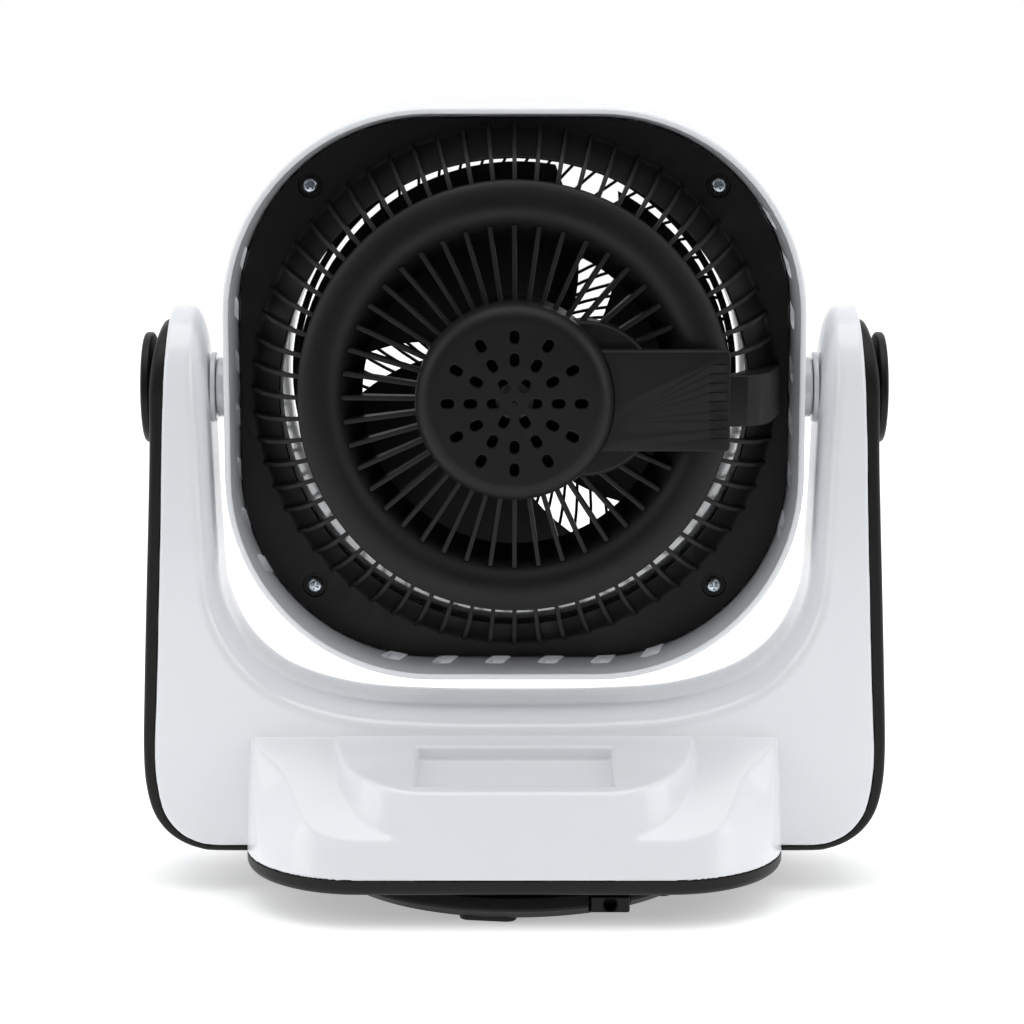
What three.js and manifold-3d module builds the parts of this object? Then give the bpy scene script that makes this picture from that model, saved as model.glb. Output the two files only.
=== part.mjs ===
// Box-type air circulator fan: a rounded-square head tilts in a U-shaped yoke, and the yoke
// swivels on a low round foot. Millimetres, +Z up. The origin is on the swivel axis at floor
// level, the front of the fan faces -Y and its rear grille faces +Y.

import * as THREE from 'three';
import { mergeVertices } from 'three/addons/utils/BufferGeometryUtils.js';
import Module from 'manifold-3d';

const wasm = await Module();
wasm.setup();

// ---------------------------------------------------------------- driving dimensions

const GAP = 0.3; // clearance between neighbouring pieces
const WALL = 2.5; // moulded wall of the yoke shells
const TOLERANCE = 0.05; // surfaces may move by this much where tiny facets are merged

const PIVOT = { y: 12, z: 251 }; // tilt axis, parallel to X

const HOUSING = { halfWidth: 142, halfHeight: 141, corner: 101, wall: 3, front: -48, rear: 40 };
const HEAD_DROP = 1.9; // the housing and plate sit this much lower than the fan axis
const DUCT = { radius: 115, wall: 3, rear: 11.5 };
const SLOT = { width: 10, rear: 23, front: 10, slant: 5, pitch: 26.6 };

const PLATE = { halfWidth: 137.8, halfHeight: 136.8, corner: 97, front: 12, rear: 15, hole: 128 };
const OUTER_RIBS = { count: 64, width: 2.2 };
const INNER_RIBS = { count: 22, width: 2.6 };
const CUP = { radius: 47, wall: 2, front: 20, rear: 52 }; // motor cup in the rear grille
const LOBE = { x: -32.7, radius: 38.2, front: 42, rear: 54, wall: 2.4 };
const POD = { radius: 48, front: 52.3, rear: 69, fillet: 8, wall: 2.5 };
const CHANNEL = { halfHeight: 24.6, rear: 61, start: 48.4, end: 104, duct: 12.5 };
const SCREW = { reach: 100, head: 3.9, shank: 1.4 };

const FRONT_RIBS = { count: 30, inner: 20, outer: 111.6, width: 2, depth: 3, dome: 12, twist: 0.53 };
const FRONT_RIM = { inner: 110.6, outer: 114, front: -47.5, rear: -42.5 };

const BLADE = { count: 3, tip: 109, hub: 31, front: -34, rear: 6, thickness: 2.2 };
const BLADE_ANGLES = { start: 0.682, width: 1.798, lead: 0.82, easing: 0.15 }; // radians
const PIVOT_CAP = { radius: 27.3, inner: 178.3, outer: 182.8 };
const SHAFT_RADIUS = 4;
const STATOR = { bore: 21, radius: 40.5, front: 33.3, rear: 50.7 };

const YOKE = {
  front: -23, rear: 47, bottom: 25, saddle: 92.8, armTop: 40.5, innerTop: 150, cornerZ: 57,
};
const YOKE_CORNER = { x: 146.8, radius: 32, trimWidth: 37.5, trimHeight: 35.5 };
const CONSOLE = { halfWidth: 133, reach: 106, corner: 58, top: 81, rimY: 103.5, rimZ: 43 };
const SHELF = { halfWidth: 90, edgeY: 92.5, edgeZ: 65.5, corner: 42 };
const WELL = { halfWidth: 49.5, front: 56, rear: 88, depth: 6.6 };
const PANEL = { y: -60, z: 63.5, tilt: Math.atan2(32.5, 73), halfWidth: 80, halfDepth: 26 };
const BUTTON = { radius: 7, flange: 8.5, spacing: 26, row: -10 };
const BUTTON_NAMES = ['power', 'speed', 'timer', 'mode', 'swing'];

const FOOT = { radius: 100, top: 14, spindle: 18, spindleTop: 27 };
const TRAY = { bottom: 17, floor: 3, rim: 3 };
const GEAR = { module: 2, ringTeeth: 30, pinionTeeth: 8, bottom: 20.8, top: 26 };

// ---------------------------------------------------------------- materials

function plastic(color, roughness) {
  return new THREE.MeshStandardMaterial({ color, roughness, metalness: 0 });
}

function metal(color, roughness) {
  return new THREE.MeshStandardMaterial({ color, roughness, metalness: 1 });
}

const WHITE_GLOSS = plastic(0xe6e9ec, 0.18);
const BLACK_SATIN = plastic(0x1b1b1c, 0.45);
const BLACK_GLOSS = plastic(0x0c0c0e, 0.1);
const BLACK_RUBBER = plastic(0x141414, 0.9);
const GREY_PLASTIC = plastic(0x8f9499, 0.5);
const NATURAL_NYLON = plastic(0xe8e4d6, 0.4);
const CIRCUIT_GREEN = plastic(0x1d5b36, 0.5);
const COPPER = metal(0xb8652c, 0.4);
const STEEL = metal(0x9a9ca0, 0.35);
const ZINC = metal(0xb9bcc0, 0.3);

// ---------------------------------------------------------------- geometry helpers

// A closed solid from a geometry: vertices merged, slivers on an axis dropped, faces outward.
function solid(geometry) {
  const bare = geometry.clone();
  bare.deleteAttribute('normal');
  bare.deleteAttribute('uv');
  const merged = mergeVertices(bare, 1e-4);
  const points = merged.attributes.position.array;
  const corners = merged.index.array;
  const triangles = [];
  let volume = 0;
  for (let i = 0; i < corners.length; i += 3) {
    const [a, b, c] = [corners[i], corners[i + 1], corners[i + 2]];
    if (a === b || b === c || c === a) continue;
    triangles.push(a, b, c);
    const [p, q, r] = [a, b, c].map((k) => new THREE.Vector3().fromArray(points, 3 * k));
    volume += p.dot(q.cross(r));
  }
  if (volume < 0) triangles.reverse();
  const vertProperties = new Float32Array(points);
  const triVerts = new Uint32Array(triangles);
  return new wasm.Manifold(new wasm.Mesh({ numProp: 3, vertProperties, triVerts }));
}

function union(solids) {
  return solids.reduce((all, next) => all.add(next));
}

// A named mesh from a solid.
function piece(name, shape, material) {
  const data = shape.asOriginal().simplify(TOLERANCE).getMesh();
  const geometry = new THREE.BufferGeometry();
  geometry.setAttribute('position', new THREE.BufferAttribute(data.vertProperties, 3));
  geometry.setIndex(new THREE.BufferAttribute(data.triVerts, 1));
  geometry.computeVertexNormals();
  const mesh = new THREE.Mesh(geometry, material);
  mesh.name = name;
  return mesh;
}

function groupAt(x, y, z, ...children) {
  const group = new THREE.Group();
  group.position.set(x, y, z);
  group.add(...children);
  return group;
}

// A shape drawn in the two other axes and extruded from one place to another along an axis:
// along 'x' the shape is (y, z), along 'y' it is (x, z) and along 'z' it is (x, y).
function prism(shape, axis, from, to, curveSegments = 8) {
  const settings = { depth: to - from, bevelEnabled: false, curveSegments };
  const geometry = new THREE.ExtrudeGeometry(shape, settings);
  if (axis === 'x') {
    const basis = new THREE.Matrix4();
    basis.makeBasis(new THREE.Vector3(0, 1, 0), new THREE.Vector3(0, 0, 1), new THREE.Vector3(1, 0, 0));
    geometry.applyMatrix4(basis);
    geometry.translate(from, 0, 0);
  } else if (axis === 'y') {
    geometry.rotateX(Math.PI / 2);
    geometry.translate(0, to, 0);
  } else {
    geometry.translate(0, 0, from);
  }
  return solid(geometry);
}

// A profile of [radius, height] turned about an axis. It starts and ends on the axis, or it
// is closed here on itself.
function turned(profile, axis, segments = 20) {
  const points = profile.map(([radius, height]) => new THREE.Vector2(radius, height));
  if (profile[0][0] > 0) points.push(points[0].clone());
  const geometry = new THREE.LatheGeometry(points, segments);
  if (axis === 'z') geometry.rotateX(Math.PI / 2);
  if (axis === 'x') geometry.rotateZ(-Math.PI / 2);
  return solid(geometry);
}

function cylinder(radius, axis, from, to, segments = 16) {
  return turned([[0, from], [radius, from], [radius, to], [0, to]], axis, segments);
}

function tube(inner, outer, axis, from, to, segments = 20) {
  return turned([[inner, from], [outer, from], [outer, to], [inner, to]], axis, segments);
}

// An axis-aligned block between two corners.
function block(low, high) {
  const size = high.map((value, axis) => value - low[axis]);
  const geometry = new THREE.BoxGeometry(...size);
  geometry.translate(...low.map((value, axis) => value + size[axis] / 2));
  return solid(geometry);
}

function polygon(points) {
  return new THREE.Shape(points.map(([x, y]) => new THREE.Vector2(x, y)));
}

function roundedRectangle(halfWidth, halfHeight, radius) {
  const [x, y] = [halfWidth - radius, halfHeight - radius];
  const shape = new THREE.Shape();
  shape.moveTo(halfWidth, -y);
  shape.lineTo(halfWidth, y);
  shape.absarc(x, y, radius, 0, Math.PI / 2);
  shape.lineTo(-x, halfHeight);
  shape.absarc(-x, y, radius, Math.PI / 2, Math.PI);
  shape.lineTo(-halfWidth, -y);
  shape.absarc(-x, -y, radius, Math.PI, 1.5 * Math.PI);
  shape.lineTo(x, -halfHeight);
  shape.absarc(x, -y, radius, 1.5 * Math.PI, 2 * Math.PI);
  return shape;
}

// A closed loop of [inset, y] points swept round a rounded rectangle that stands in XZ.
function framedSweep(profile, halfWidth, halfHeight, radius, cornerSteps) {
  const ring = [];
  for (let corner = 0; corner < 4; corner += 1) {
    const signX = corner === 0 || corner === 3 ? 1 : -1;
    const signZ = corner < 2 ? 1 : -1;
    for (let step = 0; step <= cornerSteps; step += 1) {
      const angle = (corner + step / cornerSteps) * (Math.PI / 2);
      ring.push({ x: signX * (halfWidth - radius), z: signZ * (halfHeight - radius), angle });
    }
  }
  const positions = [];
  for (const { x, z, angle } of ring) {
    for (const [inset, y] of profile) {
      const reach = radius - inset;
      positions.push(x + reach * Math.cos(angle), y, z + reach * Math.sin(angle));
    }
  }
  return solid(gridGeometry(positions, ring.length, profile.length, true));
}

// Triangles over a grid of rows by columns, its columns closed and its rows closed or capped.
function gridGeometry(positions, rows, columns, closedRows) {
  const index = [];
  const lastRow = closedRows ? rows : rows - 1;
  for (let row = 0; row < lastRow; row += 1) {
    for (let column = 0; column < columns; column += 1) {
      const nextRow = (row + 1) % rows;
      const nextColumn = (column + 1) % columns;
      const a = row * columns + column;
      const b = row * columns + nextColumn;
      const c = nextRow * columns + nextColumn;
      const d = nextRow * columns + column;
      index.push(a, b, c, a, c, d);
    }
  }
  if (!closedRows) {
    for (let column = 1; column < columns - 1; column += 1) {
      const end = (rows - 1) * columns;
      index.push(0, column + 1, column);
      index.push(end, end + column, end + column + 1);
    }
  }
  const geometry = new THREE.BufferGeometry();
  geometry.setAttribute('position', new THREE.Float32BufferAttribute(positions, 3));
  geometry.setIndex(index);
  return geometry;
}

// Copies of a solid turned about the fan axis (Y) by the given angles in degrees.
function aroundFanAxis(shape, angles) {
  return angles.map((angle) => shape.rotate([0, -angle, 0]));
}

function evenAngles(count, start = 0) {
  return Array.from({ length: count }, (_, k) => start + (360 * k) / count);
}

// ---------------------------------------------------------------- fan head
// Everything in the head is built about the fan axis: y as in the whole fan, z = 0 on the axis.

// Centres of the slots in the bottom and both sides, as distances along the rim from the
// bottom middle.
function rimSlotDistances() {
  const quarter = rimLength() / 4;
  const rows = [
    { centre: 5, count: 6 },
    { centre: quarter + 11.6, count: 7 },
    { centre: 3 * quarter + 11.6, count: 7 },
  ];
  const distances = [];
  for (const { centre, count } of rows) {
    const half = ((count - 1) / 2) * SLOT.pitch;
    for (let k = 0; k < count; k += 1) distances.push(centre - half + k * SLOT.pitch);
  }
  return distances;
}

function rimLength() {
  const { halfWidth, halfHeight, corner } = HOUSING;
  return 4 * (halfWidth - corner) + 4 * (halfHeight - corner) + 2 * Math.PI * corner;
}

// Point and outward direction on the housing outline, going from the bottom middle towards
// -X, up, and round.
function rimPlace(distance) {
  const { halfWidth, halfHeight, corner } = HOUSING;
  const [flatX, flatZ] = [halfWidth - corner, halfHeight - corner];
  const arc = (Math.PI / 2) * corner;
  const stretches = [
    { length: flatX, from: [0, -halfHeight], along: [-1, 0] },
    { length: arc, centre: [-flatX, -flatZ], start: -Math.PI / 2 },
    { length: 2 * flatZ, from: [-halfWidth, -flatZ], along: [0, 1] },
    { length: arc, centre: [-flatX, flatZ], start: -Math.PI },
    { length: 2 * flatX, from: [-flatX, halfHeight], along: [1, 0] },
    { length: arc, centre: [flatX, flatZ], start: -1.5 * Math.PI },
    { length: 2 * flatZ, from: [halfWidth, flatZ], along: [0, -1] },
    { length: arc, centre: [flatX, -flatZ], start: -2 * Math.PI },
    { length: flatX, from: [flatX, -halfHeight], along: [-1, 0] },
  ];
  const total = rimLength();
  let left = ((distance % total) + total) % total;
  for (const stretch of stretches) {
    if (left > stretch.length) {
      left -= stretch.length;
    } else if (stretch.along) {
      const [dx, dz] = stretch.along;
      const [x, z] = stretch.from;
      return { x: x + dx * left, z: z + dz * left, angle: Math.atan2(dx, -dz) };
    } else {
      const angle = stretch.start - left / corner;
      const [x, z] = stretch.centre;
      return { x: x + corner * Math.cos(angle), z: z + corner * Math.sin(angle), angle };
    }
  }
  return { x: 0, z: -halfHeight, angle: -Math.PI / 2 };
}

// One slanted slot cutter, along the outward direction of the rim.
function slotCutter({ x, z, angle }) {
  const half = SLOT.width / 2;
  const shift = SLOT.slant / 2;
  const outline = polygon([
    [-half + shift, SLOT.front], [half + shift, SLOT.front],
    [half - shift, SLOT.rear], [-half - shift, SLOT.rear],
  ]);
  const depth = 4 * HOUSING.wall;
  const geometry = new THREE.ExtrudeGeometry(outline, { depth, bevelEnabled: false });
  geometry.translate(0, 0, -depth / 2);
  const out = new THREE.Vector3(Math.cos(angle), 0, Math.sin(angle));
  const back = new THREE.Vector3(0, 1, 0);
  const along = new THREE.Vector3().crossVectors(back, out);
  geometry.applyMatrix4(new THREE.Matrix4().makeBasis(along, back, out));
  geometry.translate(x, 0, z - HEAD_DROP);
  return solid(geometry);
}

function fanHousing() {
  const { halfWidth, halfHeight, corner, wall, front, rear } = HOUSING;
  const skinProfile = [
    [0, front + 5], [0, rear - 1.5], [1, rear], [wall - 1, rear], [wall, rear - 1.5],
    [wall, front + wall + 2], [wall + 14, front + wall], [wall + 14, front],
    [5, front], [1.5, front + 1.5],
  ];
  const skin = framedSweep(skinProfile, halfWidth, halfHeight, corner, 7);
  const inset = wall + 10;
  const faceOutline = roundedRectangle(halfWidth - inset, halfHeight - inset, corner - inset);
  const face = prism(faceOutline, 'y', front, front + wall, 6);
  const duct = tube(DUCT.radius, DUCT.radius + DUCT.wall, 'y', front, DUCT.rear, 36);
  const bore = cylinder(DUCT.radius, 'y', front - 1, DUCT.rear + 1, 36);
  let housing = union([skin, face]).translate([0, 0, -HEAD_DROP]).subtract(bore).add(duct);
  for (const [x, z] of screwPlaces()) {
    const post = cylinder(4.5, 'y', front + 1, PLATE.front - GAP, 8);
    housing = housing.add(post.translate([x, 0, z]));
    const hole = cylinder(SCREW.shank + GAP, 'y', -6, PLATE.front + 1, 6);
    housing = housing.subtract(hole.translate([x, 0, z]));
  }
  for (const side of [-1, 1]) {
    const hole = cylinder(4.1, 'x', halfWidth - 6, halfWidth + 6, 12);
    housing = housing.subtract(mirrored(hole, side).translate([0, PIVOT.y, 0]));
  }
  for (const distance of rimSlotDistances()) {
    housing = housing.subtract(slotCutter(rimPlace(distance)));
  }
  return housing;
}

function mirrored(shape, side) {
  return side < 0 ? shape.mirror([1, 0, 0]) : shape;
}

function screwPlaces() {
  const reach = SCREW.reach;
  return [[-reach, reach], [reach, reach], [reach, -reach], [-reach, -reach]];
}

// A fin standing on the fan axis direction: its outline is [radius, y], at angle 0 on +X.
function fin(outline, width) {
  return prism(polygon(outline), 'z', -width / 2, width / 2);
}

// True where a rib lies under the cable channel, which runs from the pod towards -X.
function underChannel(angle, halfAngle) {
  return Math.abs(((angle % 360) + 360) % 360 - 180) < halfAngle;
}

function rearGrille() {
  const { halfWidth, halfHeight, corner, front, rear, hole } = PLATE;
  const facets = OUTER_RIBS.count / 2;
  const halfStep = [0, 90 / facets, 0]; // puts every outer rib in the middle of a facet
  const plateOutline = roundedRectangle(halfWidth, halfHeight, corner);
  let grille = prism(plateOutline, 'y', front, rear, 8).translate([0, 0, -HEAD_DROP]);
  grille = grille.subtract(cylinder(hole, 'y', front - 1, rear + 1, facets).rotate(halfStep));
  const collar = turned([[128, front], [130.5, front], [116.2, 35.5], [114.7, 35.5]], 'y', facets)
    .rotate(halfStep);
  const ring = turned([
    [105.5, 50], [96, 54], [86, 51.5], [80.5, 43.5], [74.2, 36.5], [75.6, 34.7], [82.8, 42],
    [90, 49.5], [105, 48],
  ], 'y', facets).rotate(halfStep);
  const outerFinOutline = [[115.8, 35], [113.5, 44.5], [104.6, 49.8], [104.6, 48.2], [114.9, 35]];
  const outerFin = fin(outerFinOutline, OUTER_RIBS.width);
  const outerAngles = evenAngles(OUTER_RIBS.count, 90).filter((angle) => !underChannel(angle, 7.5));
  const innerFin = fin([[82, 45], [46.4, 51.5], [46.4, 46.5], [82, 41.4]], INNER_RIBS.width);
  const innerAngles = evenAngles(INNER_RIBS.count, 90).filter((angle) => !underChannel(angle, 17.5));
  const cupInner = CUP.radius - CUP.wall;
  const cup = turned([
    [9.6, CUP.front], [CUP.radius, CUP.front], [CUP.radius, CUP.rear], [cupInner, CUP.rear],
    [cupInner, CUP.front + WALL], [9.6, CUP.front + WALL],
  ], 'y', INNER_RIBS.count);
  const cupSpace = cylinder(cupInner, 'y', CUP.front + WALL, CUP.rear + 5, INNER_RIBS.count);
  const lobeShell = cylinder(LOBE.radius, 'y', LOBE.front, LOBE.rear, 24)
    .subtract(cylinder(LOBE.radius - LOBE.wall, 'y', LOBE.front - 1, LOBE.rear - LOBE.wall, 24));
  const lobe = lobeShell.translate([LOBE.x, 0, 0])
    .subtract(cylinder(CUP.radius - 1, 'y', 0, 60, INNER_RIBS.count));
  const channelFloor = block([-84, 42, -22], [-69.5, 44.5, 22]);
  grille = union([
    grille, collar, ring, lobe, channelFloor, cup,
    ...aroundFanAxis(outerFin, outerAngles), ...aroundFanAxis(innerFin, innerAngles),
  ]);
  grille = grille.subtract(cupSpace);
  grille = grille.subtract(cylinder(POD.radius + 1, 'y', CUP.rear, POD.rear, INNER_RIBS.count));
  for (const [x, z] of screwPlaces()) {
    const recess = cylinder(5.75, 'y', rear - 1.2, rear + 1, 12);
    const clearance = cylinder(1.9, 'y', front - 1, rear + 1, 8);
    grille = grille.subtract(recess.translate([x, 0, z])).subtract(clearance.translate([x, 0, z]));
  }
  return grille;
}

function motorCover() {
  const { radius, front, rear, fillet, wall } = POD;
  const outer = radius - fillet;
  let cover = turned([
    [0, rear - wall], [outer, rear - wall], [radius - wall, rear - fillet], [radius - wall, front],
    [radius, front], [radius, rear - fillet], [radius - 2.3, rear - 2.3], [outer, rear], [0, rear],
  ], 'y', 28);
  const slot = block([-3.35, rear - 5, -2.4], [3.35, rear + 1, 2.4]);
  const rings = [{ count: 6, reach: 10 }, { count: 12, reach: 21.1 }, { count: 12, reach: 32.1 }];
  for (const { count, reach } of rings) {
    for (const cutter of aroundFanAxis(slot.translate([reach, 0, 0]), evenAngles(count))) {
      cover = cover.subtract(cutter);
    }
  }
  return cover;
}

function cableCover() {
  const { halfHeight, rear, start, end, duct } = CHANNEL;
  const underside = 54.6;
  const channel = block([-end, underside, -halfHeight], [-start + 8, rear, halfHeight])
    .subtract(block([-end + 3, underside - 1, -halfHeight + 2], [-start + 9, rear - 2, halfHeight - 2]))
    .subtract(cylinder(start, 'y', underside - 1, rear + 1, 32));
  const ductOutline = polygon([
    [-100, underside], [-100, rear], [-113, rear], [-124, 49], [-128, 34], [-131, 22],
    [-131.5, 15.4], [-131.2, 15.4], [-117, 36.3], [-112, 40], [-107, 50],
  ]);
  return channel.add(prism(ductOutline, 'z', -duct, duct));
}

// One spiral rib of the front grille as a swept rectangle with a few steps along it.
function frontRib() {
  const { inner, outer, width, depth, dome, twist } = FRONT_RIBS;
  const steps = 2;
  const positions = [];
  for (let step = 0; step <= steps; step += 1) {
    const radius = inner + ((outer - inner) * step) / steps;
    const turn = twist * Math.log(radius / inner);
    const front = -46 - dome * (1 - (radius / outer) ** 2);
    const [ux, uz] = [Math.cos(turn), Math.sin(turn)];
    const [sx, sz] = [(-uz * width) / 2, (ux * width) / 2];
    const [x, z] = [radius * ux, radius * uz];
    positions.push(x + sx, front, z + sz, x - sx, front, z - sz);
    positions.push(x - sx, front + depth, z - sz, x + sx, front + depth, z + sz);
  }
  return solid(gridGeometry(positions, steps + 1, 4, false));
}

function frontGrille() {
  const { inner, outer, front, rear } = FRONT_RIM;
  const rim = tube(inner, outer, 'y', front, rear, FRONT_RIBS.count);
  const centre = cylinder(22, 'y', -57.7, -55, FRONT_RIBS.count);
  return union([rim, centre, ...aroundFanAxis(frontRib(), evenAngles(FRONT_RIBS.count))]);
}

function centreCap() {
  return turned([[0, -58], [20, -58], [20, -59.5], [16, -61], [8, -61.8], [0, -62]], 'y', 24);
}

// One blade: a wide twisted sheet from the hub to the tip, leaning forwards towards the tip.
// Angles are measured as seen from the rear, from -X towards +Z.
function blade() {
  const { tip, hub, thickness } = BLADE;
  const { start, width, lead, easing } = BLADE_ANGLES;
  const [spans, chords] = [3, 6];
  const positions = [];
  for (let span = 0; span <= spans; span += 1) {
    const share = span / spans;
    const radius = hub - 2 + (tip - hub + 2) * share;
    const first = start + lead * share * (1 - easing * share * share);
    const top = [];
    const bottom = [];
    for (let chord = 0; chord <= chords; chord += 1) {
      const along = chord / chords;
      const angle = first + width * along;
      const y = -27 + 31 * along ** 0.9 - 3 * share;
      const [x, z] = [-radius * Math.cos(angle), radius * Math.sin(angle)];
      top.push([x, y + thickness / 2, z]);
      bottom.push([x, y - thickness / 2, z]);
    }
    positions.push(...top.flat(), ...bottom.reverse().flat());
  }
  const columns = 2 * (chords + 1);
  return solid(cappedSheet(positions, spans + 1, columns));
}

// A grid geometry whose end rows are strips between a top and a returning bottom edge.
function cappedSheet(positions, rows, columns) {
  const geometry = gridGeometry(positions, rows, columns, false);
  const sideCorners = (rows - 1) * columns * 6;
  const index = Array.from(geometry.index.array.slice(0, sideCorners));
  for (const [start, flip] of [[0, true], [(rows - 1) * columns, false]]) {
    for (let k = 0; k < columns / 2 - 1; k += 1) {
      const [a, b] = [start + k, start + k + 1];
      const [c, d] = [start + columns - 2 - k, start + columns - 1 - k];
      const strip = flip ? [a, c, b, a, d, c] : [a, b, c, a, c, d];
      index.push(...strip);
    }
  }
  geometry.setIndex(index);
  return geometry;
}

function fanBlade() {
  const { hub, front, rear, count } = BLADE;
  const shell = turned([
    [SHAFT_RADIUS + GAP, front], [hub - 4, front], [hub, front + 4], [hub, rear], [hub - 2.5, rear],
    [hub - 2.5, front + 5], [hub - 5, front + 2.5], [10, front + 2.5], [10, front + 24],
    [SHAFT_RADIUS + GAP, front + 24],
  ], 'y', 28);
  const inside = tube(10, hub - 2.5, 'y', front + 5, rear + 1, 28);
  const blades = union(aroundFanAxis(blade(), evenAngles(count))).subtract(inside);
  return shell.add(blades);
}

function motorBracket(facing) {
  // The same pressed bracket closes both ends of the motor: facing 1 is the front end.
  const middle = (STATOR.front + STATOR.rear) / 2;
  const profile = [
    [9.3, 22.8], [41, 22.8], [41, STATOR.front - GAP], [39, STATOR.front - GAP], [39, 25.8],
    [9.3, 25.8],
  ];
  const placed = profile.map(([radius, y]) => [radius, facing > 0 ? y : 2 * middle - y]);
  return turned(placed, 'y');
}

function headParts() {
  const screw = turned([
    [0, -4], [SCREW.shank, -4], [SCREW.shank, 14.1], [SCREW.head, 14.1], [SCREW.head, 15.8],
    [2.6, 17], [0, 17.2],
  ], 'y', 12);
  const { bore, radius, front, rear } = STATOR;
  const windingFront = tube(22, 35, 'y', front - 5.6, front - GAP);
  const windingRear = tube(22, 35, 'y', rear + GAP, rear + 5.6);
  return [
    piece('fan_housing', fanHousing(), WHITE_GLOSS),
    piece('rear_grille', rearGrille(), BLACK_SATIN),
    piece('motor_cover', motorCover(), BLACK_SATIN),
    piece('cable_cover', cableCover(), BLACK_SATIN),
    piece('front_grille', frontGrille(), BLACK_SATIN),
    piece('centre_cap', centreCap(), BLACK_GLOSS),
    piece('stator_core', tube(bore, radius, 'y', front, rear), STEEL),
    piece('winding_front', windingFront, COPPER),
    piece('winding_rear', windingRear, COPPER),
    piece('motor_bracket_front', motorBracket(1), STEEL),
    piece('motor_bracket_rear', motorBracket(-1), STEEL),
    piece('bearing_front', tube(SHAFT_RADIUS + GAP, 9, 'y', 24.5, 30.5, 16), STEEL),
    piece('bearing_rear', tube(SHAFT_RADIUS + GAP, 9, 'y', 53.5, 59.5, 16), STEEL),
    piece('capacitor', block([-65, 42.5, -13], [-50, 51, 13]), BLACK_SATIN),
    ...screwPlaces().map(([x, z], k) => (
      piece(`cover_screw_${k + 1}`, screw.translate([x, 0, z]), ZINC)
    )),
  ];
}

function rotorParts() {
  const shaft = cylinder(SHAFT_RADIUS, 'y', -39.2, 61.5, 16);
  const core = tube(SHAFT_RADIUS + GAP, STATOR.bore - 0.5, 'y', STATOR.front, STATOR.rear);
  const nut = turned([
    [0, -43], [6, -42.5], [9, -40], [9, BLADE.front - GAP], [SHAFT_RADIUS + GAP, BLADE.front - GAP],
    [SHAFT_RADIUS + GAP, -39.6], [0, -39.6],
  ], 'y', 16);
  return [
    piece('fan_blade', fanBlade(), BLACK_SATIN),
    piece('motor_shaft', shaft, STEEL),
    piece('rotor_core', core, STEEL),
    piece('blade_nut', nut, GREY_PLASTIC),
  ];
}

// ---------------------------------------------------------------- tilt pivots

// One side's pieces about the tilt axis; side 1 is +X.
function pivotParts(side) {
  const word = side > 0 ? 'right' : 'left';
  const trunnion = turned([
    [0, 139.3], [3.8, 139.3], [3.8, 142.3], [14.9, 142.3], [14.9, 147.1], [9.7, 147.1],
    [9.7, 161], [0, 161],
  ], 'x', 20);
  const collar = tube(10.2, 17.4, 'x', 147.4, YOKE.innerTop - GAP);
  const nut = tube(10.1, 15, 'x', YOKE.innerTop + WALL + GAP, 158);
  const { radius, inner, outer } = PIVOT_CAP;
  const cap = turned([
    [0, inner], [radius - 0.5, inner], [radius, inner + 0.7], [radius, outer - 1.5],
    [radius - 1.5, outer], [0, outer],
  ], 'x', 28);
  return [
    piece(`tilt_trunnion_${word}`, mirrored(trunnion, side), WHITE_GLOSS),
    piece(`pivot_collar_${word}`, mirrored(collar, side), WHITE_GLOSS),
    piece(`tilt_nut_${word}`, mirrored(nut, side), STEEL),
    piece(`pivot_cap_${word}`, mirrored(cap, side), BLACK_SATIN),
  ];
}

// ---------------------------------------------------------------- yoke and consoles

// Front view of the white yoke: two arms joined by the U-shaped saddle. The inset moves every
// wall inwards, apart from the open bottom.
function yokeOutline(inset) {
  const { x, radius } = YOKE_CORNER;
  const bottom = YOKE.bottom - (inset > 0 ? 1 : 0);
  const top = PIVOT.z + YOKE.armTop + 2;
  const saddle = YOKE.saddle - inset;
  const shape = new THREE.Shape();
  const inner = [[YOKE.innerTop, top], [YOKE.innerTop, 228], [148, 200], [145, 150]];
  const outer = [[178.8, 74], [175, 150], [171, 240], [171, top]];
  shape.moveTo(inner[0][0] + inset, top);
  for (const [px, pz] of inner.slice(1)) shape.lineTo(px + inset, pz);
  shape.bezierCurveTo(145 + inset, 124 - inset, 118, saddle + 1, 60, saddle);
  shape.lineTo(-60, saddle);
  shape.bezierCurveTo(-118, saddle + 1, -145 - inset, 124 - inset, -145 - inset, 150);
  for (const [px, pz] of inner.slice(0, 3).reverse()) shape.lineTo(-px - inset, pz);
  for (const [px, pz] of outer.slice().reverse()) shape.lineTo(-px + inset, pz);
  shape.absarc(-x, YOKE.cornerZ, radius - inset, Math.PI, 1.5 * Math.PI);
  shape.lineTo(-x, bottom);
  shape.lineTo(x, bottom);
  shape.absarc(x, YOKE.cornerZ, radius - inset, 1.5 * Math.PI, 2 * Math.PI);
  for (const [px, pz] of outer) shape.lineTo(px - inset, pz);
  return shape;
}

// Side view of the yoke: straight sides and a rounded top about the tilt axis.
function armProfile(halfDepth, height) {
  const shape = new THREE.Shape();
  shape.moveTo(PIVOT.y + halfDepth, 10);
  shape.lineTo(PIVOT.y + halfDepth, PIVOT.z);
  shape.absellipse(PIVOT.y, PIVOT.z, halfDepth, height, 0, Math.PI, false, 0);
  shape.lineTo(PIVOT.y - halfDepth, 10);
  return shape;
}

// Plan of a console: a rounded rectangle from y = 0 outwards on one side (1 rear, -1 front).
function consolePlan(halfWidth, reach, corner, side) {
  const shape = roundedRectangle(halfWidth, reach, corner);
  const keep = polygon([[-200, 0], [200, 0], [200, side * 200], [-200, side * 200]]);
  return { shape, keep };
}

function consoleColumn(halfWidth, reach, corner, side, low, high) {
  const { shape, keep } = consolePlan(halfWidth, reach, corner, side);
  return prism(shape, 'z', low, high, 7).intersect(prism(keep, 'z', low - 1, high + 1));
}

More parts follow.
